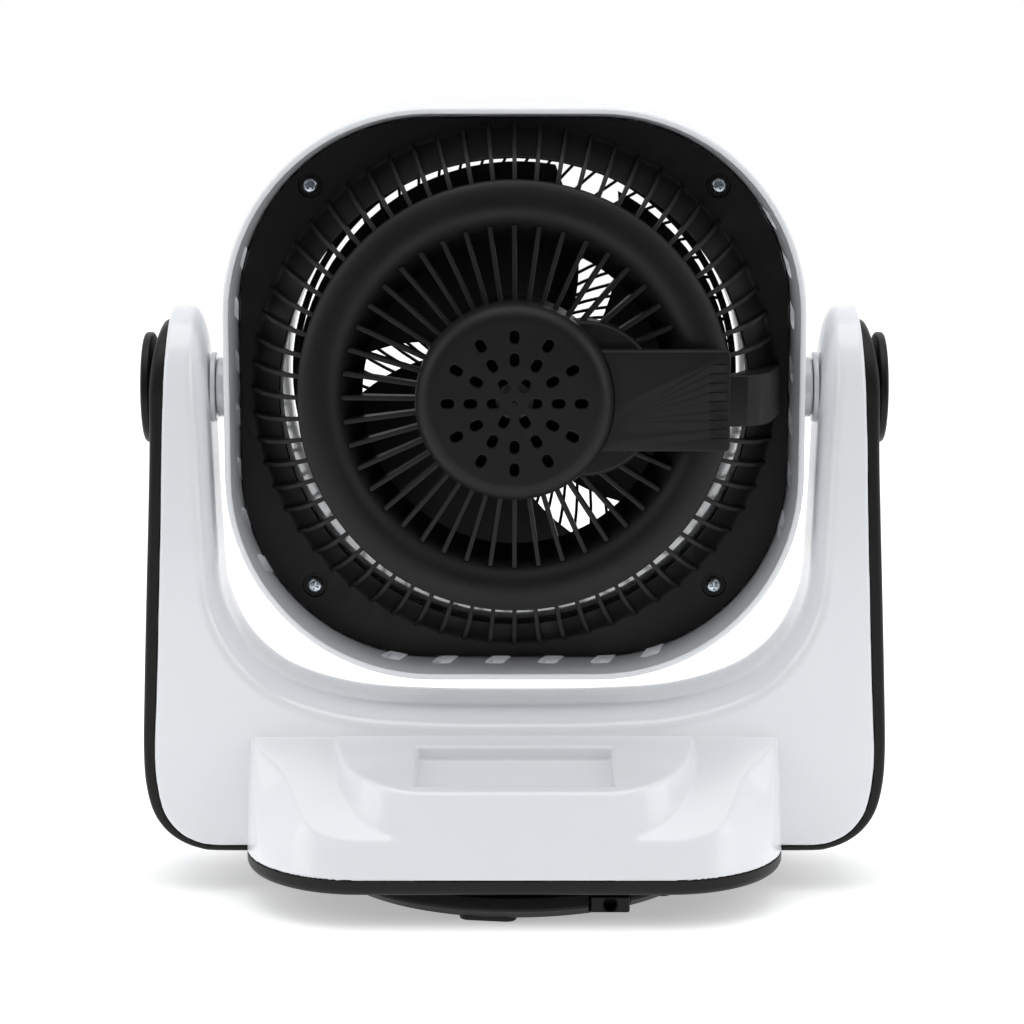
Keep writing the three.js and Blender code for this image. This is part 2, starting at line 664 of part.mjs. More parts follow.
function shelfHeight(y) {
  return CONSOLE.top - ((y - YOKE.rear) * (CONSOLE.top - SHELF.edgeZ)) / (SHELF.edgeY - YOKE.rear);
}

// Rear console: a low part with sloping side scoops, and a raised middle shelf.
function rearConsole(inset) {
  const low = YOKE.bottom - (inset > 0 ? 1 : 0);
  const { halfWidth, reach, corner, top, rimY, rimZ } = CONSOLE;
  const sides = polygon([
    [0, low], [reach, low], [rimY, rimZ - inset], [YOKE.rear, top - inset], [0, top - inset],
  ]);
  const base = consoleColumn(halfWidth - inset, reach - inset, corner - inset, 1, low, top)
    .intersect(prism(sides, 'x', -halfWidth, halfWidth));
  const middle = polygon([
    [0, low], [reach - inset, low], [SHELF.edgeY - inset, SHELF.edgeZ - inset],
    [YOKE.rear, top - inset], [0, top - inset],
  ]);
  const shelf = consoleColumn(SHELF.halfWidth - inset, reach - inset, SHELF.corner - inset, 1, low, top)
    .intersect(prism(middle, 'x', -halfWidth, halfWidth));
  return base.add(shelf);
}

function frontConsole(inset) {
  const low = YOKE.bottom - (inset > 0 ? 1 : 0);
  const { halfWidth, reach, corner } = CONSOLE;
  const lid = inset > 0 ? 5.5 : 0; // the sloping lid is thicker, to hold the control panel
  const slope = Math.tan(PANEL.tilt);
  const top = PANEL.z + (YOKE.front - PANEL.y) * slope - lid;
  const profile = polygon([
    [0, low], [-reach + inset, low], [-104 + inset, 40 - lid / 2],
    [-96, PANEL.z + (-96 - PANEL.y) * slope - lid], [YOKE.front, top], [0, top],
  ]);
  return consoleColumn(halfWidth - inset, reach - inset, corner - inset, -1, low, top)
    .intersect(prism(profile, 'x', -halfWidth, halfWidth));
}

// The remote control's well in the shelf, grown by a margin.
function wellBlock(margin) {
  const { halfWidth, front, rear, depth } = WELL;
  const [from, to] = [front - margin, rear + margin];
  const above = margin > 0 ? 4 : 20;
  const outline = polygon([
    [from, shelfHeight(from) - depth - margin], [to, shelfHeight(to) - depth - margin],
    [to, shelfHeight(to) + above], [from, shelfHeight(from) + above],
  ]);
  return prism(outline, 'x', -halfWidth - margin, halfWidth + margin);
}

function panelFrame(shape) {
  const degrees = THREE.MathUtils.radToDeg(PANEL.tilt);
  return shape.rotate([degrees, 0, 0]).translate([0, PANEL.y, PANEL.z]);
}

function panelBlock(halfWidth, halfDepth, corner, low, high) {
  return prism(roundedRectangle(halfWidth, halfDepth, corner), 'z', low, high, 3);
}

function yokeShell() {
  const depth = (YOKE.rear - YOKE.front) / 2;
  const body = prism(yokeOutline(0), 'y', YOKE.front, YOKE.rear, 8)
    .intersect(prism(armProfile(depth, YOKE.armTop), 'x', -200, 200, 12));
  const space = prism(yokeOutline(WALL), 'y', YOKE.front + WALL, YOKE.rear - WALL, 8)
    .intersect(prism(armProfile(depth - WALL, YOKE.armTop - WALL), 'x', -200, 200, 12));
  const outside = union([body, rearConsole(0), frontConsole(0)]).subtract(wellBlock(0));
  const inside = union([space, rearConsole(WALL), frontConsole(WALL)]).subtract(wellBlock(WALL));
  let shell = outside.subtract(inside);
  for (const side of [-1, 1]) {
    const hole = cylinder(10.2, 'x', YOKE.innerTop - 2, YOKE.innerTop + WALL + 2, 20);
    shell = shell.subtract(mirrored(hole, side).translate([0, PIVOT.y, PIVOT.z]));
  }
  const pocket = panelBlock(PANEL.halfWidth + GAP, PANEL.halfDepth + GAP, 8, -2.2, 20);
  const opening = panelBlock(PANEL.halfWidth - 6, PANEL.halfDepth - 6, 4, -20, 1);
  return shell.subtract(panelFrame(pocket)).subtract(panelFrame(opening));
}

// The strip that closes the outer side of an arm and turns in under its lower corner.
function armTrim() {
  const { x, radius, trimWidth, trimHeight } = YOKE_CORNER;
  const top = PIVOT.z + YOKE.armTop;
  const shape = new THREE.Shape();
  shape.moveTo(178, top);
  shape.lineTo(178, 222);
  shape.lineTo(181.4, 150);
  shape.lineTo(x + trimWidth, 74);
  shape.absellipse(x, YOKE.cornerZ, trimWidth, trimHeight, 0, -Math.PI / 2, true, 0);
  shape.lineTo(CONSOLE.halfWidth + GAP, YOKE.cornerZ - trimHeight);
  shape.lineTo(CONSOLE.halfWidth + GAP, YOKE.bottom - GAP);
  shape.absarc(x, YOKE.cornerZ, radius + GAP, -Math.PI / 2, 0);
  shape.lineTo(178.8 + GAP, 74);
  shape.lineTo(175 + GAP, 150);
  shape.lineTo(171 + GAP, 240);
  shape.lineTo(171 + GAP, top);
  const halfDepth = (YOKE.rear - YOKE.front) / 2 - 1.2;
  const strip = prism(shape, 'y', YOKE.front, YOKE.rear, 7);
  return strip.intersect(prism(armProfile(halfDepth, 33.8), 'x', 0, 200, 12));
}

function baseTray() {
  const { halfWidth, reach, corner } = CONSOLE;
  const top = YOKE.bottom - GAP;
  const { bottom, floor, rim } = TRAY;
  let tray = prism(roundedRectangle(halfWidth, reach, corner), 'z', bottom, top, 7);
  const space = roundedRectangle(halfWidth - rim, reach - rim, corner - rim);
  tray = tray.subtract(prism(space, 'z', bottom + floor, top + 1, 7));
  tray = tray.subtract(cylinder(FOOT.spindle + 0.5, 'z', bottom - 1, bottom + 10));
  for (const x of [-26, 26]) {
    tray = tray.add(cylinder(3, 'z', bottom + 1, 29.7, 10).translate([x, gearDistance(), 0]));
  }
  return tray;
}

function panelParts() {
  let bezel = panelBlock(PANEL.halfWidth, PANEL.halfDepth, 8, -1.9, 0.4);
  const windowPlace = [0, 11, 0];
  const receiverPlace = [60, 11, 0];
  bezel = bezel.subtract(panelBlock(38.3, 8.3, 2, -3, 2).translate(windowPlace));
  bezel = bezel.subtract(cylinder(4.3, 'z', -3, 2, 12).translate(receiverPlace));
  for (let k = 0; k < BUTTON_NAMES.length; k += 1) {
    bezel = bezel.subtract(cylinder(BUTTON.radius + GAP, 'z', -3, 2, 16).translate(buttonPlace(k)));
  }
  const receiver = turned([[0, -1.9], [4, -1.9], [4, 0.4], [2.5, 1], [0, 1.2]], 'z', 12);
  return [
    piece('control_bezel', bezel, BLACK_GLOSS),
    piece('display_window', panelBlock(38, 8, 1.7, -1.9, 0.6).translate(windowPlace), BLACK_GLOSS),
    piece('receiver_window', receiver.translate(receiverPlace), BLACK_GLOSS),
    piece('control_board', block([-70, -18, -8.1], [70, 18, -6.6]), CIRCUIT_GREEN),
  ];
}

function buttonPlace(k) {
  const middle = (BUTTON_NAMES.length - 1) / 2;
  return [(k - middle) * BUTTON.spacing, BUTTON.row, 0];
}

function buttonParts() {
  const { radius, flange } = BUTTON;
  const button = turned([
    [0, -4.5], [flange, -4.5], [flange, -2.5], [radius, -2.5], [radius, 1.2],
    [radius - 0.7, 1.9], [0, 1.9],
  ], 'z', 16);
  return BUTTON_NAMES.map((name, k) => (
    piece(`${name}_button`, button.translate(buttonPlace(k)), BLACK_SATIN)
  ));
}

// ---------------------------------------------------------------- swivel and foot

function gearDistance() {
  return (GEAR.module * (GEAR.ringTeeth + GEAR.pinionTeeth)) / 2;
}

// A gear outline with straight-sided teeth; a tooth is centred on the start angle.
function gearOutline(teeth, start) {
  const pitchRadius = (GEAR.module * teeth) / 2;
  const [tip, root] = [pitchRadius + 1.7, pitchRadius - 2.2];
  const step = (2 * Math.PI) / teeth;
  const points = [];
  for (let tooth = 0; tooth < teeth; tooth += 1) {
    const angle = start + tooth * step;
    for (const [radius, share] of [[root, -0.32], [tip, -0.12], [tip, 0.12], [root, 0.32]]) {
      points.push([radius * Math.cos(angle + share * step), radius * Math.sin(angle + share * step)]);
    }
  }
  return polygon(points);
}

function swivelParts() {
  const { bottom, top } = GEAR;
  const ring = prism(gearOutline(GEAR.ringTeeth, Math.PI / 2), 'z', bottom, top)
    .subtract(cylinder(FOOT.spindle + 2 * GAP, 'z', bottom - 1, top + 1, 32));
  const meshed = Math.PI / 2 + Math.PI / GEAR.pinionTeeth; // a gap faces the fixed gear's tooth
  const pinion = prism(gearOutline(GEAR.pinionTeeth, meshed), 'z', bottom, top)
    .add(cylinder(2.5, 'z', top - 1, 34, 12)).translate([0, gearDistance(), 0]);
  const motor = cylinder(21, 'z', 30, 48).add(block([-31, -5, 30], [31, 5, 31.5]))
    .subtract(cylinder(2.8, 'z', 29, 36, 12)).translate([0, gearDistance(), 0]);
  const washer = tube(5, 24, 'z', FOOT.spindleTop + GAP, FOOT.spindleTop + 2.3);
  const boltSeat = FOOT.spindleTop + 2.3 + GAP;
  const bolt = turned([
    [0, 5], [4.7, 5], [4.7, boltSeat], [8, boltSeat], [8, boltSeat + 4], [6.5, boltSeat + 5],
    [0, boltSeat + 5],
  ], 'z', 18);
  return {
    foot: [
      piece('fixed_gear', ring, NATURAL_NYLON),
      piece('retaining_washer', washer, STEEL),
      piece('swivel_bolt', bolt, ZINC),
    ],
    pinion: piece('swing_pinion', pinion, NATURAL_NYLON),
    motor: piece('swing_motor', motor, STEEL),
  };
}

function footParts() {
  const { radius, top, spindle, spindleTop } = FOOT;
  const glandNotch = block([-57, 78, 4], [-36, 110, 13.3]);
  const disc = turned([
    [5, 4], [22, 4], [22, 9], [78, 9], [78, 2.5], [93, 2.5], [radius, 8], [radius - 3, top],
    [spindle, top], [spindle, spindleTop], [5, spindleTop],
  ], 'z', 32).subtract(glandNotch);
  const gland = block([-56, 82, 5], [-37, 93, 13]).subtract(
    cylinder(3.2, 'y', 84, 95, 12).translate([-46.5, 0, 9]));
  const pad = prism(roundedRectangle(14, 5.5, 5), 'z', 0, 2.2, 3).translate([0, 86.5, 0]);
  const feet = [];
  for (let k = 0; k < 5; k += 1) {
    const shape = pad.rotate([0, 0, -8.5 + 72 * k]);
    feet.push(piece(`rubber_foot_${k + 1}`, shape, BLACK_RUBBER));
  }
  return [
    piece('foot_disc', disc, BLACK_SATIN),
    piece('foot_weight', tube(24, 76, 'z', 4.2, 8.7), STEEL),
    piece('cord_gland', gland, BLACK_SATIN),
    piece('slip_ring', tube(60, 90, 'z', top + GAP, TRAY.bottom - GAP, 24), BLACK_SATIN),
    ...feet,
  ];
}

// ---------------------------------------------------------------- assembly

function shellParts() {
  const shell = yokeShell();
  const half = GAP / 2;
  const behind = block([-200, PIVOT.y + half, 0], [200, 200, 400]);
  const ahead = block([-200, -200, 0], [200, PIVOT.y - half, 400]);
  return [
    piece('yoke_rear_shell', shell.intersect(behind), WHITE_GLOSS),
    piece('yoke_front_shell', shell.intersect(ahead), WHITE_GLOSS),
    piece('arm_trim_right', armTrim(), BLACK_SATIN),
    piece('arm_trim_left', mirrored(armTrim(), -1), BLACK_SATIN),
    piece('base_tray', baseTray(), BLACK_SATIN),
  ];
}

const head = groupAt(0, 0, PIVOT.z, ...headParts(), ...rotorParts());
const pivots = groupAt(0, PIVOT.y, PIVOT.z, ...pivotParts(1), ...pivotParts(-1));
const panel = groupAt(0, PANEL.y, PANEL.z, ...panelParts(), ...buttonParts());
panel.rotation.x = PANEL.tilt;
const swivel = swivelParts();

const group = new THREE.Group();
group.add(head, pivots, panel, ...shellParts(), ...footParts());
group.add(...swivel.foot, swivel.pinion, swivel.motor);

export default group;
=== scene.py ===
"""Looks of the box-type air circulator fan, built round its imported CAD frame.

The frame is in metres with +Z up; the origin is on the swivel axis at floor level and the rear
grille faces +Y. Shapes here are worked out in millimetres and scaled when a mesh is made.
"""

import math

import bmesh
import bpy
import numpy as np
from mathutils import Matrix, Vector


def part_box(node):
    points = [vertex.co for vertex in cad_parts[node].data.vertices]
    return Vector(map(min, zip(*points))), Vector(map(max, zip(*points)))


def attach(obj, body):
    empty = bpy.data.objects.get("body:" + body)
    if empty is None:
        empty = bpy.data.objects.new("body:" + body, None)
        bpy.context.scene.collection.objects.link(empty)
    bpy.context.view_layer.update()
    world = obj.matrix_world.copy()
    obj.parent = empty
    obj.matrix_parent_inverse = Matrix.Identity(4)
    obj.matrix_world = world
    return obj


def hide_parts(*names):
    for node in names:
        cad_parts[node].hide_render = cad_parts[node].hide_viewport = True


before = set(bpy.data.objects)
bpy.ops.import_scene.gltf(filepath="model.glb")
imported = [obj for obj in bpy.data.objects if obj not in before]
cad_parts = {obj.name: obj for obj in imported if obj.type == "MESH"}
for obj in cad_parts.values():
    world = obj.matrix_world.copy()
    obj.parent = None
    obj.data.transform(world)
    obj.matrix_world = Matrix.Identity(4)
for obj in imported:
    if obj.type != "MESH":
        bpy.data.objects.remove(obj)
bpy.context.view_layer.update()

MM = 0.001


def box_mm(node):
    """Lowest and highest corner of a CAD node, in millimetres."""
    low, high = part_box(node)
    return np.array(low) / MM, np.array(high) / MM


# ---------------------------------------------------------------- places taken from the frame

CAP_LOW, CAP_HIGH = box_mm("pivot_cap_right")
PIVOT_Y = (CAP_LOW[1] + CAP_HIGH[1]) / 2
PIVOT_Z = (CAP_LOW[2] + CAP_HIGH[2]) / 2
HOUSING_LOW, HOUSING_HIGH = box_mm("fan_housing")
PLATE_LOW, PLATE_HIGH = box_mm("rear_grille")
POD_LOW, POD_HIGH = box_mm("motor_cover")
TRAY_LOW, TRAY_HIGH = box_mm("base_tray")
YOKE_LOW, YOKE_HIGH = box_mm("yoke_rear_shell")
FOOT_HIGH = box_mm("foot_disc")[1]
HEAD_Z = PIVOT_Z  # the fan axis
HEAD_AXIS = (0, 0, HEAD_Z)
BODY_Z = (HOUSING_HIGH[2] + HOUSING_LOW[2]) / 2  # the middle of the housing

# ---------------------------------------------------------------- camera and light


def add_camera():
    data = bpy.data.cameras.new("camera")
    data.lens = 107.2
    data.sensor_width = 36
    camera = bpy.data.objects.new("camera", data)
    camera.location = (0.0012, 1.512, 0.4685)
    camera.rotation_euler = (math.radians(79.4), 0, math.pi)
    bpy.context.scene.collection.objects.link(camera)
    bpy.context.scene.camera = camera


add_camera()


def softbox(name, place, size, power, target=(0, 0, 0.2)):
    data = bpy.data.lights.new(name, "AREA")
    data.shape = "RECTANGLE"
    data.size, data.size_y = size
    data.energy = power
    light = bpy.data.objects.new(name, data)
    light.location = place
    light.rotation_euler = (Vector(target) - Vector(place)).to_track_quat("-Z", "Y").to_euler()
    bpy.context.scene.collection.objects.link(light)


def add_world():
    """A white studio: bright behind and beside the fan, dim behind the camera."""
    world = bpy.data.worlds.new("studio")
    bpy.context.scene.world = world
    world.use_nodes = True
    tree = world.node_tree
    tree.nodes.clear()
    place = tree.nodes.new("ShaderNodeTexCoord")
    split = tree.nodes.new("ShaderNodeSeparateXYZ")
    tree.links.new(place.outputs["Generated"], split.inputs[0])
    ramp = tree.nodes.new("ShaderNodeMapRange")
    ramp.interpolation_type = "SMOOTHSTEP"
    ramp.inputs["From Min"].default_value = 0.3
    ramp.inputs["From Max"].default_value = 0.86
    ramp.inputs["To Min"].default_value = 0.98
    ramp.inputs["To Max"].default_value = 0.07
    tree.links.new(split.outputs["Y"], ramp.inputs["Value"])
    lighting = tree.nodes.new("ShaderNodeBackground")
    lighting.inputs["Color"].default_value = (0.97, 0.985, 1.0, 1)
    tree.links.new(ramp.outputs[0], lighting.inputs["Strength"])
    backdrop = tree.nodes.new("ShaderNodeBackground")
    backdrop.inputs["Color"].default_value = (1, 1, 1, 1)
    seen = tree.nodes.new("ShaderNodeLightPath")
    mix = tree.nodes.new("ShaderNodeMixShader")
    tree.links.new(seen.outputs["Is Camera Ray"], mix.inputs[0])
    tree.links.new(lighting.outputs[0], mix.inputs[1])
    tree.links.new(backdrop.outputs[0], mix.inputs[2])
    output = tree.nodes.new("ShaderNodeOutputWorld")
    tree.links.new(mix.outputs[0], output.inputs["Surface"])


add_world()
bpy.context.scene.view_settings.view_transform = "Standard"
softbox("top_box", (0, 0.35, 1.6), (1.5, 1.1), 7.6, (0, 0.05, 0.2))
softbox("left_box", (1.5, 0.75, 0.8), (0.9, 1.2), 4.2)
softbox("right_box", (-1.5, 0.75, 0.8), (0.9, 1.2), 4.2)

# ---------------------------------------------------------------- materials


class Finish:
    """A procedural material under construction: node helpers round one Principled shader."""

    def __init__(self, name, roughness, metallic=0.0):
        self.material = bpy.data.materials.new(name)
        self.material.use_nodes = True
        self.tree = self.material.node_tree
        self.shader = self.tree.nodes["Principled BSDF"]
        self.shader.inputs["Metallic"].default_value = metallic
        self.shader.inputs["Roughness"].default_value = roughness
        place = self.tree.nodes.new("ShaderNodeTexCoord")
        self.place = place.outputs["Object"]

    def link(self, source, target):
        self.tree.links.new(source, target)

    def noise(self, scale, detail=3.0, stretch=None):
        node = self.tree.nodes.new("ShaderNodeTexNoise")
        node.inputs["Scale"].default_value = scale
        node.inputs["Detail"].default_value = detail
        source = self.place
        if stretch:
            mapping = self.tree.nodes.new("ShaderNodeMapping")
            mapping.inputs["Scale"].default_value = stretch
            self.link(source, mapping.inputs["Vector"])
            source = mapping.outputs["Vector"]
        self.link(source, node.inputs["Vector"])
        return node.outputs["Fac"]

    def spread(self, source, low, high, from_low=0.3, from_high=0.7):
        node = self.tree.nodes.new("ShaderNodeMapRange")
        node.inputs["From Min"].default_value = from_low
        node.inputs["From Max"].default_value = from_high
        node.inputs["To Min"].default_value = low
        node.inputs["To Max"].default_value = high
        self.link(source, node.inputs["Value"])
        return node.outputs["Result"]

    def mix(self, factor, first, second):
        node = self.tree.nodes.new("ShaderNodeMix")
        node.data_type = "RGBA"
        self.link(factor, node.inputs["Factor"])
        for value, socket in ((first, node.inputs[6]), (second, node.inputs[7])):
            if isinstance(value, tuple):
                socket.default_value = (*value, 1)
            else:
                self.link(value, socket)
        return node.outputs[2]

    def worn_edges(self, start, end):
        node = self.tree.nodes.new("ShaderNodeNewGeometry")
        return self.spread(node.outputs["Pointiness"], 0.0, 1.0, start, end)

    def bump(self, source, strength, distance):
        node = self.tree.nodes.new("ShaderNodeBump")
        node.inputs["Strength"].default_value = strength
        node.inputs["Distance"].default_value = distance
        self.link(source, node.inputs["Height"])
        self.link(node.outputs[0], self.shader.inputs["Normal"])


def moulded(name, colour, other, edge, roughness, grain, depth, coat=0.0, spread=0.06, specular=0.5):
    """Moulded plastic: slow colour drift, grain, uneven gloss and paler worn edges."""
    finish = Finish(name, roughness)
    drift = finish.spread(finish.noise(14, 2), 0, 1)
    tint = finish.mix(drift, colour, other)
    worn = finish.mix(finish.worn_edges(0.53, 0.62), tint, edge)
    finish.link(worn, finish.shader.inputs["Base Color"])
    gloss = finish.spread(finish.noise(35, 4), roughness - spread, roughness + spread)
    finish.link(gloss, finish.shader.inputs["Roughness"])
    finish.bump(finish.noise(grain, 2), 0.25, depth)
    finish.shader.inputs["Specular IOR Level"].default_value = specular
    finish.shader.inputs["Coat Weight"].default_value = coat
    finish.shader.inputs["Coat Roughness"].default_value = 0.06
    return finish.material


def brushed(name, colour, other, roughness, stretch=(1, 1, 14), grain=300):
    """Metal with fine directional marks and uneven tarnish."""
    finish = Finish(name, roughness, 1.0)
    drift = finish.spread(finish.noise(60, 3), 0, 1)
    finish.link(finish.mix(drift, colour, other), finish.shader.inputs["Base Color"])
    lines = finish.noise(grain, 4, stretch)
    finish.link(finish.spread(lines, roughness - 0.08, roughness + 0.1), finish.shader.inputs["Roughness"])
    finish.bump(lines, 0.2, 0.00004)
    return finish.material


WHITE = moulded("white_gloss", (0.80, 0.815, 0.835), (0.785, 0.80, 0.825), (0.86, 0.87, 0.88),
                0.17, 420, 0.00002, coat=0.25, spread=0.04)
BLACK = moulded("black_satin", (0.0085, 0.0083, 0.0083), (0.0105, 0.0100, 0.0098), (0.018, 0.017, 0.017),
                0.42, 2600, 0.00003, spread=0.05, specular=0.2)
BLACK_SMOOTH = moulded("black_gloss", (0.004, 0.004, 0.005), (0.005, 0.005, 0.006), (0.012, 0.012, 0.013),
                       0.12, 500, 0.00001, coat=0.5, spread=0.03)
RUBBER = moulded("black_rubber", (0.012, 0.012, 0.012), (0.018, 0.018, 0.017), (0.03, 0.03, 0.03),
                 0.78, 1800, 0.00008)
GREY = moulded("grey_plastic", (0.27, 0.28, 0.29), (0.24, 0.25, 0.26), (0.36, 0.37, 0.38),
               0.45, 1500, 0.00003)
NYLON = moulded("natural_nylon", (0.78, 0.75, 0.66), (0.74, 0.70, 0.60), (0.84, 0.82, 0.74),
                0.38, 1200, 0.00002)
BOARD = moulded("circuit_board", (0.012, 0.10, 0.035), (0.016, 0.13, 0.045), (0.03, 0.16, 0.06),
                0.42, 900, 0.00004)
COPPER = brushed("copper_winding", (0.48, 0.17, 0.07), (0.38, 0.12, 0.05), 0.38, (1, 18, 1), 260)
STEEL = brushed("steel", (0.42, 0.42, 0.43), (0.34, 0.34, 0.35), 0.36)
# painted shade: near-black steel for the motor brackets, so that the motor cover's slots read dark where the
# inside of the housing lies in shade
STEEL_DARKENED_AS_SHADE = brushed("steel_darkened_as_shade", (0.012, 0.012, 0.013), (0.008, 0.008, 0.009), 0.5)
ZINC = brushed("zinc_screw", (0.60, 0.66, 0.70), (0.50, 0.56, 0.62), 0.28, (3, 3, 3), 900)
MARK = moulded("printed_mark", (0.62, 0.63, 0.64), (0.58, 0.59, 0.60), (0.68, 0.68, 0.69),
               0.5, 1500, 0.00001)


def floor_finish():
    finish = Finish("studio_floor", 0.6)
    tone = finish.spread(finish.noise(1.5, 2), 0, 1)
    pale = finish.mix(tone, (0.90, 0.90, 0.90), (0.885, 0.887, 0.89))
    finish.link(pale, finish.shader.inputs["Base Color"])
    finish.bump(finish.noise(90, 3), 0.1, 0.0002)
    finish.shader.inputs["Specular IOR Level"].default_value = 0.1
    finish.shader.inputs["Emission Color"].default_value = (1, 1, 1, 1)
    finish.shader.inputs["Emission Strength"].default_value = 0.4
    return finish.material


# ---------------------------------------------------------------- outlines and profiles


def filleted(points, radii, steps=4, closed=True):
    """The outline with its corners rounded; radii is one number or one for each corner."""
    points = np.array(points, float)
    count = len(points)
    radii = [radii] * count if np.isscalar(radii) else list(radii)
    result = []
    for k, point in enumerate(points):
        ends = not closed and k in (0, count - 1)
        before, after = points[k - 1] - point, points[(k + 1) % count] - point
        lengths = np.linalg.norm(before), np.linalg.norm(after)
        if ends or radii[k] <= 0 or min(lengths) < 1e-9:
            result.append(point)
            continue
        before, after = before / lengths[0], after / lengths[1]
        half = math.acos(np.clip(before @ after, -1, 1)) / 2
        if half > math.radians(89.5):
            result.append(point)
            continue
        reach = min(radii[k] / math.tan(half), 0.48 * min(lengths))
        radius = reach * math.tan(half)
        middle = before + after
        centre = point + middle / np.linalg.norm(middle) * radius / math.sin(half)
        first, last = point + before * reach - centre, point + after * reach - centre
        start = math.atan2(first[1], first[0])
        sweep = (math.atan2(last[1], last[0]) - start + math.pi) % (2 * math.pi) - math.pi
        for step in range(steps + 1):
            angle = start + sweep * step / steps
            result.append(centre + radius * np.array([math.cos(angle), math.sin(angle)]))
    return np.array(result)


def flowing(points, per=6):
    """A smooth open line through the points."""
    p = np.array(points, float)
    p = np.vstack([2 * p[0] - p[1], p, 2 * p[-1] - p[-2]])
    line = []
    for k in range(1, len(p) - 2):
        for step in range(per):
            t = step / per
            a, b, c, d = p[k - 1], p[k], p[k + 1], p[k + 2]
            square, cube = 2 * a - 5 * b + 4 * c - d, 3 * b - 3 * c + d - a
            line.append(0.5 * (2 * b + (c - a) * t + square * t**2 + cube * t**3))
    line.append(p[-2])
    return np.array(line)


def rounded_rectangle(half_x, half_y, radius, steps=8):
    corners = [(half_x, -half_y), (half_x, half_y), (-half_x, half_y), (-half_x, -half_y)]
    return filleted(corners, radius, steps)


def circle(radius, count):
    turn = np.linspace(0, 2 * math.pi, count, endpoint=False)
    return np.stack([radius * np.cos(turn), radius * np.sin(turn)], 1)


def inset(outline, distance):
    """The outline moved inwards by a small distance, corner by corner."""
    x, y = outline[:, 0], outline[:, 1]
    area = 0.5 * np.sum(x * np.roll(y, -1) - np.roll(x, -1) * y)
    turn = 1 if area > 0 else -1
    before = outline - np.roll(outline, 1, 0)
    after = np.roll(outline, -1, 0) - outline
    before /= np.maximum(np.linalg.norm(before, axis=1, keepdims=True), 1e-9)
    after /= np.maximum(np.linalg.norm(after, axis=1, keepdims=True), 1e-9)
    normals = np.stack([-before[:, 1] - after[:, 1], before[:, 0] + after[:, 0]], 1) * turn
    size = np.linalg.norm(normals, axis=1, keepdims=True)
    cosine = np.maximum(size / 2, 0.5)
    return outline + normals / np.maximum(size, 1e-9) * distance / cosine


# ---------------------------------------------------------------- mesh parts: (points in mm, faces)


def ring_faces(rows, columns, closed_rows):
    """Quads between neighbouring rows of points; every row is a closed loop."""
    faces = []
    for row in range(rows if closed_rows else rows - 1):
        start, above = row * columns, (row + 1) % rows * columns
        for column in range(columns):
            beside = (column + 1) % columns
            faces.append((start + column, start + beside, above + beside, above + column))
    return faces


def on_axis(points, axis):
    """Points built about +Z, turned so that they stand about the given axis."""
    if axis == "z":
        return points
    if axis == "y":
        return np.stack([points[:, 0], points[:, 2], -points[:, 1]], 1)
    return np.stack([points[:, 2], points[:, 1], -points[:, 0]], 1)


def revolved(profile, axis, segments=64, centre=(0, 0, 0)):
    """A closed profile of (radius, height) turned about an axis."""
    profile = np.array(profile, float)
    turn = np.linspace(0, 2 * math.pi, segments, endpoint=False)
    points, rings, faces = [], [], []
    for radius, height in profile:
        start = len(points)
        if radius < 1e-6:
            points.append((0, 0, height))
            rings.append([start] * segments)
        else:
            points.extend((radius * math.cos(a), radius * math.sin(a), height) for a in turn)
            rings.append(list(range(start, start + segments)))
    count = len(profile)
    for k in range(count):
        low, high = rings[k], rings[(k + 1) % count]
        if low[0] == low[1] and high[0] == high[1]:
            continue
        for s in range(segments):
            corners = [low[s], low[(s + 1) % segments], high[(s + 1) % segments], high[s]]
            faces.append(tuple(dict.fromkeys(corners)))
    return on_axis(np.array(points, float), axis) + np.array(centre), faces


def rounding(bevel, steps=3):
    """(inset, height) pairs round a quarter edge, from the face to the side."""
    return [(bevel * (1 - math.sin(a)), bevel * (1 - math.cos(a)))
            for a in np.linspace(0, math.pi / 2, steps + 1)]


def slab(outline, low, high, bevel_low=0.0, bevel_high=0.0, steps=3):
    """A flat outline (x, y) made solid between two heights, with rounded rims."""
    outline = np.array(outline, float)
    bottom, top = [(0, low)], [(0, high)]
    if bevel_low > 0:
        bottom = [(i, low + h) for i, h in rounding(bevel_low, steps)]
    if bevel_high > 0:
        top = [(i, high - h) for i, h in reversed(rounding(bevel_high, steps))]
    count = len(outline)
    rows = [np.column_stack([inset(outline, i) if i else outline, np.full(count, h)])
            for i, h in bottom + top]
    return rows_part(rows, closed_rows=False)


def placed(part, matrix):
    points, faces = part
    matrix = np.array(matrix)
    return points @ matrix[:3, :3].T + matrix[:3, 3], faces


def moved(part, offset):
    return part[0] + np.array(offset, float), part[1]


def standing(part):
    """A part drawn in (x, z) and thick along its third axis, which becomes y."""
    points, faces = part
    return points[:, [0, 2, 1]], faces


def turned(part, degrees, axis="Y"):
    return placed(part, Matrix.Rotation(math.radians(degrees), 4, axis))


def mirrored(part):
    return part[0] * np.array([-1, 1, 1]), part[1]


def rows_part(rows, closed_rows):
    """A part from rows of points; the rows meet end to end, or the first and last are capped."""
    rows = np.array(rows, float)
    faces = ring_faces(rows.shape[0], rows.shape[1], closed_rows)
    if not closed_rows:
        last = (rows.shape[0] - 1) * rows.shape[1]
        faces += [tuple(range(rows.shape[1])), tuple(range(last, last + rows.shape[1]))]
    return rows.reshape(-1, 3), faces


